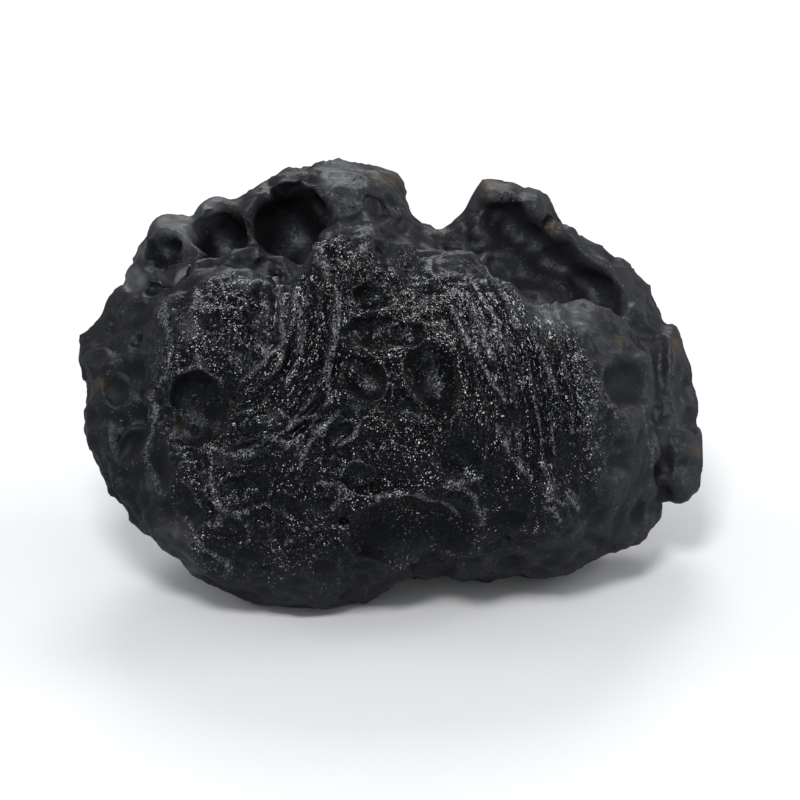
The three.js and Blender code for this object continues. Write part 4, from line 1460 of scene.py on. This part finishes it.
@dataclass(frozen=True)
class TektiteGlass:
    """Black natural glass: a rough etched skin, smooth bubble pits, pale specks and earthy stains.

    The show face is fresh and glitters. The back and the sides are worn duller and a little paler, the
    paler tone partly painted sheen.
    Its pale specks are partly painted glints, its ridge crowns and rubbed places carry painted highlights,
    its hollows painted shade and its lower rim painted light from below.
    """

    name: str = "tektite_glass"
    deep: Colour = (0.0016, 0.0018, 0.0024)
    # the paler glass: worn, and also carrying painted sheen on the back and painted light on the lower rim
    worn_and_lit: Colour = (0.0216, 0.0219, 0.0250)
    # pale colour of chips and of painted highlights on ridge crowns and rubbed places
    chipped_and_highlight: Colour = (0.17, 0.174, 0.182)
    # pale dots: dust specks and painted glints
    speck_and_glint: Colour = (0.86, 0.84, 0.80)
    stain: Colour = (0.120, 0.068, 0.025)
    facets_per_metre: float = 10500.0
    coarse_per_metre: float = 2900.0
    patches_per_metre: float = 420.0
    chips_per_metre: float = 6500.0
    specks_per_metre: float = 1500.0
    glint_dust_per_metre: float = 9000.0
    tilt: float = 0.72
    coarse_tilt: float = 0.50
    streak_tilt: float = 0.80
    streak: Point = (10.0, 3.0, 1.0)     # streaks to a millimetre, across the flow and along it
    line: Point = (3.2, 0.10, 1.0)       # fine flow lines to a millimetre, in the same way
    line_height: float = 0.00006
    specular: float = 0.42
    ior: float = 1.5
    gloss_tint: Colour = (0.88, 0.915, 1.0)
    dust_sheen: float = 0.03
    worn_roughness: float = 0.45
    fresh_roughness: float = 0.13
    patch_roughness: Range = (0.3, 0.7, 0.0, 0.08)
    pit_roughness: float = 0.12
    patch_detail: float = 3.0
    fine_detail: float = 2.0
    worn_tilt: float = 0.3           # share of the facets' tilt that is left where the glass is worn
    pit_tilt: float = 0.7            # and in the smooth pits
    patch_tilt: Range = (0.30, 0.62, 0.75, 1.1)
    streak_plain: float = 0.6        # share of the plain facets that the streaks take away
    chip_grain: Range = (0.42, 0.60, 0.1, 1.0)
    worn_rub: float = 0.75           # how strong the rubbed places, partly painted highlights, are where the glass is worn
    # share of the pale colour in the rubbed places, partly painted highlights
    highlight_rub: float = 0.7
    crown_power: float = 2.0         # how broken up the painted highlights on the ridges' crowns are
    # where the fine dots, painted glints, gather: in patches, along the flow lines, on crests, on the
    # fresh face, less in the pits
    glint_dust_patches: Range = (0.40, 0.60, 0.15, 1.2)
    glint_dust_lines: Range = (0.42, 0.56, 0.1, 1.5)
    glint_dust_crests: Range = (0.0, 1.0, 0.1, 1.1)
    glint_dust_fresh: Range = (0.1, 0.9, 0.12, 1.0)
    glint_dust_pits: float = 0.7
    glint_dust_dots: Spot = (0.46, 0.80)   # a grain's radius in cells, and the share of cells without one
    speck_dots: Spot = (0.20, 0.965)
    dot_stir: Spot = (1.3, 1.2)      # how fine the noise is that bends the grains, and how strong
    dot_edge: float = 0.6            # share of a grain's radius that is at full strength
    dot_pick: float = 0.01           # how gradual the choice of cells with a grain is
    dimmest: float = 0.12

    def build(self) -> bpy.types.Material:
        """Makes the material.

        Returns:
            The material.
        """
        material = bpy.data.materials.new(self.name)
        material.use_nodes = True
        tree = material.node_tree
        tree.nodes.clear()
        board = NodeBoard(tree)
        place = board.node("TexCoord").outputs["Object"]
        patches = board.node("TexNoise", Vector=place, Scale=self.patches_per_metre,
                             Detail=self.patch_detail).outputs["Fac"]
        flow = board.node("CombineXYZ", X=board.value_of("flow_across"),
                          Y=board.value_of("flow_along"), Z=0.0).outputs[0]
        lines = board.node("TexNoise", Vector=board.vector("MULTIPLY", flow, self.line), Scale=1.0,
                           Detail=self.fine_detail).outputs["Fac"]
        normal = self.cut_facets(board, place, flow, patches, lines)
        colour = self.colour(board, place, patches, lines)
        dull = board.ramp(board.value_of("face"), 0.0, 1.0, self.worn_roughness, self.fresh_roughness)
        dull = board.math("ADD", dull, board.ramp(patches, *self.patch_roughness))
        roughness = board.math("ADD", dull,
                               board.math("MULTIPLY", board.value_of("polish"), self.pit_roughness))
        shader = board.node("BsdfPrincipled", Base_Color=colour, Roughness=roughness, Normal=normal)
        shader.inputs["Specular IOR Level"].default_value = self.specular
        shader.inputs["Specular Tint"].default_value = rgba(self.gloss_tint)
        shader.inputs["Sheen Weight"].default_value = self.dust_sheen
        shader.inputs["IOR"].default_value = self.ior
        board.node("OutputMaterial", Surface=shader.outputs[0])
        return material

    def cut_facets(self, board: NodeBoard, place: bpy.types.NodeSocket, flow: bpy.types.NodeSocket,
                   patches: bpy.types.NodeSocket, lines: bpy.types.NodeSocket) -> bpy.types.NodeSocket:
        """The etched skin: facets of two sizes, and streaks and lines along the flow.

        Args:
            board: Where the nodes go.
            place: The coordinates.
            flow: Places across and along the flow lines, in millimetres.
            patches: Soft noise that makes some patches rougher.
            lines: Noise drawn out along the flow.

        Returns:
            The normal.
        """
        etched = {"node_tree": EtchedGrain().group()}
        streaked = board.value_of("streaked")
        strength = board.math("MULTIPLY",
                              board.ramp(board.value_of("face"), 0.0, 1.0, self.worn_tilt, 1.0),
                              board.ramp(board.value_of("polish"), 0.0, 1.0, 1.0, self.pit_tilt))
        strength = board.math("MULTIPLY", strength, board.ramp(patches, *self.patch_tilt))
        lined = board.math("MULTIPLY", streaked, strength)
        smooth = board.node("NewGeometry").outputs["Normal"]
        drawn = board.node("Bump", Height=lines, Strength=lined, Distance=self.line_height,
                           Normal=smooth).outputs["Normal"]
        coarse = board.node("Group", etched, Vector=place, Normal=drawn, Grain=self.coarse_per_metre,
                            Tilt=board.math("MULTIPLY", strength, self.coarse_tilt)).outputs[0]
        taken = board.math("MULTIPLY", streaked, self.streak_plain)
        plain = board.math("MULTIPLY", board.math("SUBTRACT", 1.0, taken), strength)
        fine = board.node("Group", etched, Vector=place, Normal=coarse, Grain=self.facets_per_metre,
                          Tilt=board.math("MULTIPLY", plain, self.tilt)).outputs[0]
        streaks = board.vector("MULTIPLY", flow, self.streak)
        return board.node("Group", etched, Vector=streaks, Normal=fine, Grain=1.0,
                          Tilt=board.math("MULTIPLY", lined, self.streak_tilt)).outputs[0]

    def colour(self, board: NodeBoard, place: bpy.types.NodeSocket, patches: bpy.types.NodeSocket,
               lines: bpy.types.NodeSocket) -> bpy.types.NodeSocket:
        """Black glass, paler where it is worn or chipped, with specks and stains. Painted highlights lie
        on ridge crowns and rubbed places, painted shade in the hollows and painted light from below on the
        lower rim; the fine specks are painted glints.

        Args:
            board: Where the nodes go.
            place: The coordinates.
            patches: Soft noise that makes some patches rougher.
            lines: Noise drawn out along the flow.

        Returns:
            The colour.
        """
        face = board.value_of("face")
        glass = board.mix(board.value_of("wear_and_painted_light"), rgba(self.deep), rgba(self.worn_and_lit))
        bitten = board.node("TexNoise", Vector=place, Scale=self.chips_per_metre,
                            Detail=self.fine_detail)
        grainy = board.ramp(bitten.outputs["Fac"], *self.chip_grain)
        # painted highlights: rubbed places take the pale chipped colour
        rubbed_and_highlit = board.math("MULTIPLY", board.value_of("rubbed_and_highlit"),
                            board.mix_values(face, self.worn_rub, grainy))
        broken = board.math("POWER", grainy, self.crown_power)
        # painted highlights: the crowns of sharp edges and named ridges take the pale chipped colour
        highlit_crowns = board.math("MULTIPLY", board.value_of("rim"), broken)
        chips_and_highlights = board.math("MAXIMUM", highlit_crowns, board.math("MULTIPLY", rubbed_and_highlit, self.highlight_rub))
        glass = board.mix(chips_and_highlights, glass, rgba(self.chipped_and_highlight))
        stained = board.mix(board.value_of("stain"), glass, rgba(self.stain))
        streaked = board.value_of("streaked")
        # painted glints: fine pale dots gathered on crests, flow lines and patches, over coarser dust
        # specks
        gather = board.math("MULTIPLY", board.ramp(patches, *self.glint_dust_patches),
                            board.mix_values(streaked, 1.0, board.ramp(lines, *self.glint_dust_lines)))
        gather = board.math("MULTIPLY", gather,
                            board.ramp(board.value_of("crest"), *self.glint_dust_crests))
        fine = board.math("MULTIPLY", self.dots(board, place, self.glint_dust_per_metre, *self.glint_dust_dots),
                          gather)
        coarse = self.dots(board, place, self.specks_per_metre, *self.speck_dots)
        dust_and_glints = board.math("MULTIPLY", board.math("MAXIMUM", coarse, fine),
                          board.ramp(face, *self.glint_dust_fresh))
        rough = board.ramp(board.value_of("polish"), 0.0, 1.0, 1.0, self.glint_dust_pits)
        return board.mix(board.math("MULTIPLY", dust_and_glints, rough), stained, rgba(self.speck_and_glint))

    def dots(self, board: NodeBoard, place: bpy.types.NodeSocket, per_metre: float, radius: float,
             rarity: float) -> bpy.types.NodeSocket:
        """Small pale dots, partly dust and partly painted glints, a few of the cells having one.

        Args:
            board: Where the nodes go.
            place: The coordinates.
            per_metre: Cells to a metre.
            radius: The dot's radius as a share of a cell.
            rarity: Share of the cells that have none.

        Returns:
            A mask of the dots.
        """
        finer, reach = self.dot_stir
        stir = board.node("TexNoise", Vector=place, Scale=per_metre * finer, Detail=1.0).outputs["Color"]
        stir = board.scaled(board.vector("SUBTRACT", stir, MID_GREY), reach / per_metre)
        cells = board.node("TexVoronoi", {"feature": "F1"}, Vector=board.vector("ADD", place, stir),
                           Scale=per_metre, Randomness=1.0)
        near = board.ramp(cells.outputs["Distance"], radius * self.dot_edge, radius, 1.0, 0.0)
        pick = board.node("SeparateColor", Color=cells.outputs["Color"]).outputs
        chosen = board.ramp(pick[0], rarity, rarity + self.dot_pick)
        bright = board.ramp(pick[1], 0.0, 1.0, self.dimmest, 1.0)
        return board.math("MULTIPLY", board.math("MULTIPLY", near, chosen), bright)


@dataclass(frozen=True)
class MattCard:
    """Plain pale card with the faintest tooth, held dark in the stone's gloss as by a black flag."""

    name: str = "matt_card"
    colour: Colour = (0.88, 0.88, 0.885)
    in_gloss: Colour = (0.16, 0.17, 0.19)
    roughness: float = 0.9
    tooth_per_metre: float = 900.0
    tooth: float = 0.02

    def build(self) -> bpy.types.Material:
        """Makes the material.

        Returns:
            The material.
        """
        material = bpy.data.materials.new(self.name)
        material.use_nodes = True
        tree = material.node_tree
        tree.nodes.clear()
        board = NodeBoard(tree)
        place = board.node("TexCoord").outputs["Object"]
        smooth = board.node("NewGeometry").outputs["Normal"]
        normal = board.node("Group", {"node_tree": EtchedGrain().group()}, Vector=place, Normal=smooth,
                            Grain=self.tooth_per_metre, Tilt=self.tooth).outputs["Normal"]
        seen, mirrored = (board.node("BsdfPrincipled", Base_Color=rgba(colour),
                                     Roughness=self.roughness, Normal=normal).outputs[0]
                          for colour in (self.colour, self.in_gloss))
        glossy = board.node("LightPath").outputs["Is Glossy Ray"]
        both = board.node("MixShader", i0=glossy, i1=seen, i2=mirrored)
        board.node("OutputMaterial", Surface=both.outputs[0])
        return material


# ---------------------------------------------------------------------------------- the pieces

@dataclass
class Tektite:
    """The stone: one closed lump of glass."""

    name: str = "tektite_stone"
    surface: Surface = field(default_factory=Surface)
    skin: Skin = field(default_factory=Skin)
    relief: Relief = field(default_factory=Relief)
    finish: TektiteGlass = TektiteGlass()
    inset: float = 0.02              # clear of the solid's box on every side but the bottom
    unhollowed: BareStone = field(default_factory=lambda: BareStone(hollows=()))
    band_edge: float = -13.6         # below this the lower rim is smooth
    band_lean: float = 0.25          # how that rises towards the back
    band_soft: float = 1.6
    band_polish: float = 0.3
    wall: Spot = (0.04, 0.16)        # how far off a pit's wall its polish begins to fade, and is gone
    crown: Spot = (0.05, 0.22)       # the same for the painted highlight on a ridge's crown
    felt: float = 0.3                # how far beyond its reach a mark still counts
    foot_fade: Spot = (0.05, 0.6)    # heights above the table between which the fine relief sets in
    floor_lit: Spot = (-15.8, -11.0)     # the lower rim is painted paler, as lit from the card below, below the first and not above the second
    floor_lit_lean: float = 0.04
    floor_lit_pale: float = 0.55
    paler_rightward: float = 0.032         # how much paler the glass is towards its right end
    fresh: Spot = (-2.0, 4.5)        # where the show face's fresh glass begins, and is whole
    fresh_rise: float = 0.08         # how that leans back up the face
    fresh_bend: float = 0.0075       # and towards its ends
    fresh_ragged: Spot = (1.6, 2.6)  # how far its edge strays, and how gradually
    fresh_back: float = 0.6          # how fresh the back is
    fresh_behind: Spot = (2.0, 6.0)  # how far behind the widest line that begins, and is whole
    stain_fade: Spot = (0.3, 1.0)    # shares of a stain's radius where it fades and ends
    stain_back: float = -9.0         # how far behind the widest line stains still lie
    stain_strength: float = 0.6
    stain_broken: float = 0.4        # share of a stain that isn't broken up
    rub_fade: Spot = (0.2, 1.0)
    rub_back: float = -3.0
    rub_broken: float = 0.5
    patches: float = 0.7             # width of the patches that break stains and rubbed places up
    patch_span: Spot = (-0.2, 0.5)
    lip: Spot = (0.02, 0.12)         # polish near by that makes a point a pit's lip
    lip_rounds: int = 6
    lip_share: float = 0.8
    proud_rounds: int = 2
    broad_rounds: int = 8
    crest: Spot = (-0.020, 0.014)    # how proud a crest stands of its neighbours
    crown_edge: Spot = (0.030, 0.075)
    crown_worn: float = 0.6          # how strong the ridges' crowns are where the glass is worn
    sunk_depth: Spot = (0.4, 1.6)    # depths in the hollows between which the pale tone gives way to painted shade
    sunk_side: Spot = (2.0, 7.0)     # across the face, where that weakens
    sunk_less: float = 0.75
    # how much of the pale tone the hollows lose, as painted shade
    sunk_shade: float = 0.85
    # pale tone of worn glass, more on broad convex places and less in concave ones as painted shade
    wear_base: float = 0.34
    wear_proud: float = 0.5
    wear_span: Spot = (-0.006, 0.012)
    wear_pits: float = 0.6
    marks: dict[str, Array] = field(default_factory=dict)

    def shape(self) -> None:
        """Draws the skin over the stone and cuts the fine relief into it."""
        self.surface.mark()
        self.skin.tighten(self.surface)
        points = self.skin.points
        front = self.surface.stone.rim_behind(points)
        u, v, w = points.T
        stray, gradual = self.fresh_ragged
        ragged = stray * self.relief.grain.cloud(points + Patch.RAGGED.value, gradual)
        fresh = soft_step(w + ragged + self.fresh_rise * v - self.fresh_bend * u ** 2, *self.fresh)
        fresh = np.maximum(fresh, self.fresh_back * soft_step(-front, *self.fresh_behind))
        polish = self.polish(points)
        heights = self.relief.heights(points, front, polish, fresh)
        heights *= soft_step(height_of(points), *self.foot_fade)
        self.skin.points = points + self.skin.normals() * heights[:, None]
        self.keep(points, front, polish, fresh)

    def polish(self, points: Array) -> Array:
        """How smooth the glass is: most in the bubble pits, some in the lower rim.

        Args:
            points: Points on the surface, in the face frame.

        Returns:
            Numbers from 0 to 1.
        """
        found = np.zeros(len(points))
        bent = points + self.surface.wander(points)
        for bubble in self.surface.bubbles:
            away = np.linalg.norm(bent - bubble.middle, axis=1)
            index = np.nonzero(away < bubble.reach + self.felt)[0]
            if index.size:
                wall = 1.0 - soft_step(np.abs(bubble.distance(bent[index])), *self.wall)
                found[index] = np.maximum(found[index], wall)
        band = 1.0 - soft_step(points[:, 1] + self.band_lean * points[:, 2], self.band_edge,
                               self.band_edge + self.band_soft)
        return np.maximum(found, self.band_polish * band)

    def edges(self, points: Array) -> Array:
        """Where the crowns of the named ridges run, which carry painted highlights.

        Args:
            points: Points on the surface, in the face frame.

        Returns:
            Numbers from 0 to 1.
        """
        found = np.zeros(len(points))
        bent = points + self.surface.wander(points)
        for mark in self.surface.marks:
            if isinstance(mark, Strand) and mark.effect is Effect.ADDS:
                away = np.linalg.norm(bent - mark.middle, axis=1)
                index = np.nonzero(away < mark.reach + self.felt)[0]
                flat = bent[index] * (1.0, 1.0, 0.0)
                shade = Strand((*mark.start[:2], 0.0), (*mark.end[:2], 0.0), 0.0, 0.0)
                crown = 1.0 - soft_step(shade.distance(flat), *self.crown)
                found[index] = np.maximum(found[index], crown)
        return found

    def keep(self, points: Array, front: Array, polish: Array, fresh: Array) -> None:
        """Keeps the numbers that the finish reads at each point.

        Args:
            points: Points on the surface before the relief, in the face frame.
            front: How far each point stands in front of the widest line.
            polish: How smooth the glass is there.
            fresh: How little it is worn.
        """
        outward = self.skin.outward()
        proud = self.skin.evened(outward, self.proud_rounds)
        broad = self.skin.evened(outward, self.broad_rounds)
        stain = np.zeros(len(points))
        for u, v, radius in STAINS:
            away = np.hypot(points[:, 0] - u, points[:, 1] - v) / radius
            stain = np.maximum(stain, (1.0 - soft_step(away, *self.stain_fade))
                               * (front > self.stain_back))
        rubbed_and_highlit = np.zeros(len(points))
        for u, v, radius, strength in RUBBED_AND_HIGHLIT:
            away = np.hypot(points[:, 0] - u, points[:, 1] - v) / radius
            rubbed_and_highlit = np.maximum(rubbed_and_highlit, strength * (1.0 - soft_step(away, *self.rub_fade))
                                * (front > self.rub_back))
        patches = self.relief.grain.cloud(points + Patch.BROKEN.value, self.patches)
        broken = soft_step(patches, *self.patch_span)
        lips = soft_step(self.skin.evened(polish, self.lip_rounds), *self.lip)
        sunk = soft_step(-self.unhollowed.distance(points), *self.sunk_depth)
        sunk *= 1.0 - self.sunk_less * soft_step(points[:, 0], *self.sunk_side)
        # painted light from below: the lower rim is painted paler, as lit by the card
        lowest = 1.0 - soft_step(points[:, 1] - self.floor_lit_lean * points[:, 0], *self.floor_lit)
        # pale tone: worn glass, partly painted sheen on the back; painted shade darkens the hollows and
        # concave places, and the pits are kept darker too
        wear_and_painted_light = self.wear_base + self.wear_proud * soft_step(broad, *self.wear_span)
        wear_and_painted_light *= (1.0 - fresh) * (1.0 + self.paler_rightward * points[:, 0])
        wear_and_painted_light *= (1.0 - self.sunk_shade * sunk) * (1.0 - self.wear_pits * polish)
        highlit_crowns = self.crown_worn + (1.0 - self.crown_worn) * fresh
        streaked = np.zeros(len(points))
        across = np.zeros(len(points))
        along = np.zeros(len(points))
        facing = fresh * soft_step(front, *self.relief.flow_edge)
        for bundle in self.relief.bundles:
            mask = bundle.mask(points, facing)
            here = mask > streaked
            over, down = bundle.paths(points)
            across = np.where(here, over, across)
            along = np.where(here, down, along)
            streaked = np.maximum(streaked, mask)
        self.marks = {
            "polish": polish,
            "crest": soft_step(proud, *self.crest),
            # painted highlights on sharp crowns and on the named ridges' crowns
            "rim": np.maximum(soft_step(outward, *self.crown_edge) * fresh * (1.0 - self.lip_share * lips),
                              self.edges(points) * highlit_crowns * (front > 0.0)),
            "rubbed_and_highlit": rubbed_and_highlit * (self.rub_broken + (1.0 - self.rub_broken) * broken),
            "wear_and_painted_light": np.clip(wear_and_painted_light + self.floor_lit_pale * lowest, 0.0, 1.0),
            "face": fresh,
            "stain": self.stain_strength * stain * (self.stain_broken
                                                    + (1.0 - self.stain_broken) * broken),
            "streaked": streaked * (1.0 - polish),
            "flow_across": across,
            "flow_along": along,
        }

    def build(self) -> bpy.types.Object:
        """Makes the stone's object, in place of the plain solid.

        Returns:
            The object.
        """
        self.shape()
        low, high = (np.array(corner) for corner in CAD_BOX)
        places = np.clip(stand_up(self.skin.points), low + self.inset * MM * np.array([1, 1, 0]),
                         high - self.inset * MM)
        faces = self.skin.faces
        mesh = bpy.data.meshes.new(self.name)
        mesh.vertices.add(len(places))
        mesh.vertices.foreach_set("co", places.astype(np.float32).ravel())
        mesh.loops.add(faces.size)
        mesh.loops.foreach_set("vertex_index", faces.astype(np.int32).ravel())
        mesh.polygons.add(len(faces))
        mesh.polygons.foreach_set("loop_start", np.arange(0, faces.size, 3, dtype=np.int32))
        mesh.polygons.foreach_set("use_smooth", np.ones(len(faces), bool))
        mesh.update(calc_edges=True)
        mesh.validate()
        for name, values in self.marks.items():
            attribute = mesh.attributes.new(name, "FLOAT", "POINT")
            attribute.data.foreach_set("value", values.astype(np.float32))
        made = bpy.data.objects.new(self.name, mesh)
        bpy.context.scene.collection.objects.link(made)
        mesh.materials.append(self.finish.build())
        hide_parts("tektite")
        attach(made, "root")
        return made


@dataclass(frozen=True)
class CardTable:
    """The pale card that the stone lies on."""

    name: str = "card_table"
    half: float = 4.0
    cuts: int = 24
    finish: MattCard = MattCard()

    def build(self) -> bpy.types.Object:
        """Makes the card.

        Returns:
            The object.
        """
        side = np.linspace(-self.half, self.half, self.cuts + 1)
        x, y = np.meshgrid(side, side)
        places = np.stack([x.ravel(), y.ravel(), np.zeros(x.size)], axis=1)
        row = self.cuts + 1
        faces = [(i * row + j, i * row + j + 1, (i + 1) * row + j + 1, (i + 1) * row + j)
                 for i in range(self.cuts) for j in range(self.cuts)]
        mesh = bpy.data.meshes.new(self.name)
        mesh.from_pydata(places.tolist(), [], faces)
        mesh.materials.append(self.finish.build())
        made = bpy.data.objects.new(self.name, mesh)
        bpy.context.scene.collection.objects.link(made)
        return made


@dataclass(frozen=True)
class SoftLight:
    """A square lamp with a soft front, aimed at the stone."""

    name: str
    azimuth: float                   # degrees round from behind the camera, clockwise from above
    elevation: float
    distance: float
    size: float
    watts: float
    colour: Colour = (1.0, 1.0, 1.0)
    aim: Point = (0.0, 0.0, 0.012)

    def build(self) -> bpy.types.Object:
        """Makes the lamp.

        Returns:
            The lamp's object.
        """
        turn, rise = math.radians(self.azimuth), math.radians(self.elevation)
        away = Vector((-math.sin(turn) * math.cos(rise), -math.cos(turn) * math.cos(rise), math.sin(rise)))
        lamp = bpy.data.lights.new(self.name, "AREA")
        lamp.shape = "SQUARE"
        lamp.size = self.size
        lamp.energy = self.watts
        lamp.color = self.colour
        made = bpy.data.objects.new(self.name, lamp)
        made.location = Vector(self.aim) + away * self.distance
        made.rotation_euler = (-away).to_track_quat("-Z", "Y").to_euler()
        bpy.context.scene.collection.objects.link(made)
        return made


@dataclass(frozen=True)
class Studio:
    """The room's own light, kept low in the stone's gloss, and the lamps in it."""

    room: Colour = (0.94, 0.97, 1.0)
    room_strength: float = 0.45
    gloss_strength: float = 0.07
    lamps: tuple[SoftLight, ...] = (
        SoftLight("lamp_key", 12.0, 58.0, 1.4, 0.34, 9.3),
        SoftLight("lamp_low", -12.0, 6.0, 1.6, 0.90, 2.6),
        SoftLight("lamp_back", 180.0, 40.0, 1.2, 0.45, 5.5),
        SoftLight("lamp_left", 100.0, 26.0, 1.0, 0.30, 1.1),
        SoftLight("lamp_right", -100.0, 26.0, 1.0, 0.30, 2.1),
    )

    def build(self) -> None:
        """Lights the scene."""
        world = bpy.data.worlds.new("studio_room")
        world.use_nodes = True
        world.node_tree.nodes.clear()
        board = NodeBoard(world.node_tree)
        room, gloss = (board.node("Background", Color=rgba(self.room), Strength=strength).outputs[0]
                       for strength in (self.room_strength, self.gloss_strength))
        glossy = board.node("LightPath").outputs["Is Glossy Ray"]
        both = board.node("MixShader", i0=glossy, i1=room, i2=gloss).outputs[0]
        board.node("OutputWorld", Surface=both)
        bpy.context.scene.world = world
        bpy.context.scene.view_settings.view_transform = "Standard"
        for lamp in self.lamps:
            lamp.build()


@dataclass(frozen=True)
class ViewPoint:
    """The camera: it looks straight at the show face, from 25 degrees above the table."""

    name: str = "view"
    distance: float = 700.0
    across: float = 0.789            # the face-frame point in the middle of the picture
    up: float = -1.219
    width: float = 57.33             # how much it sees there, side to side
    sensor: float = 36.0
    clip: Spot = (0.01, 20.0)        # metres between which it sees

    def build(self) -> bpy.types.Object:
        """Makes the camera and puts it in use.

        Returns:
            The camera's object.
        """
        camera = bpy.data.cameras.new(self.name)
        camera.sensor_width = self.sensor
        camera.lens = self.sensor * self.distance / self.width
        camera.clip_start, camera.clip_end = self.clip
        made = bpy.data.objects.new(self.name, camera)
        eye, aim = stand_up(np.array([[self.across, self.up, self.distance],
                                      [self.across, self.up, 0.0]]))
        made.location = Vector(eye)
        made.rotation_euler = Vector(aim - eye).to_track_quat("-Z", "Y").to_euler()
        bpy.context.scene.collection.objects.link(made)
        bpy.context.scene.camera = made
        return made


def main() -> None:
    """Builds everything in order and reports each piece."""
    logging.basicConfig(level=logging.INFO, format="%(message)s")
    ViewPoint().build()
    CardTable().build()
    Studio().build()
    stone = Tektite().build()
    LOG.info("%s: %d points, %d triangles", stone.name, len(stone.data.vertices),
             len(stone.data.polygons))


if __name__ == "__main__":
    main()
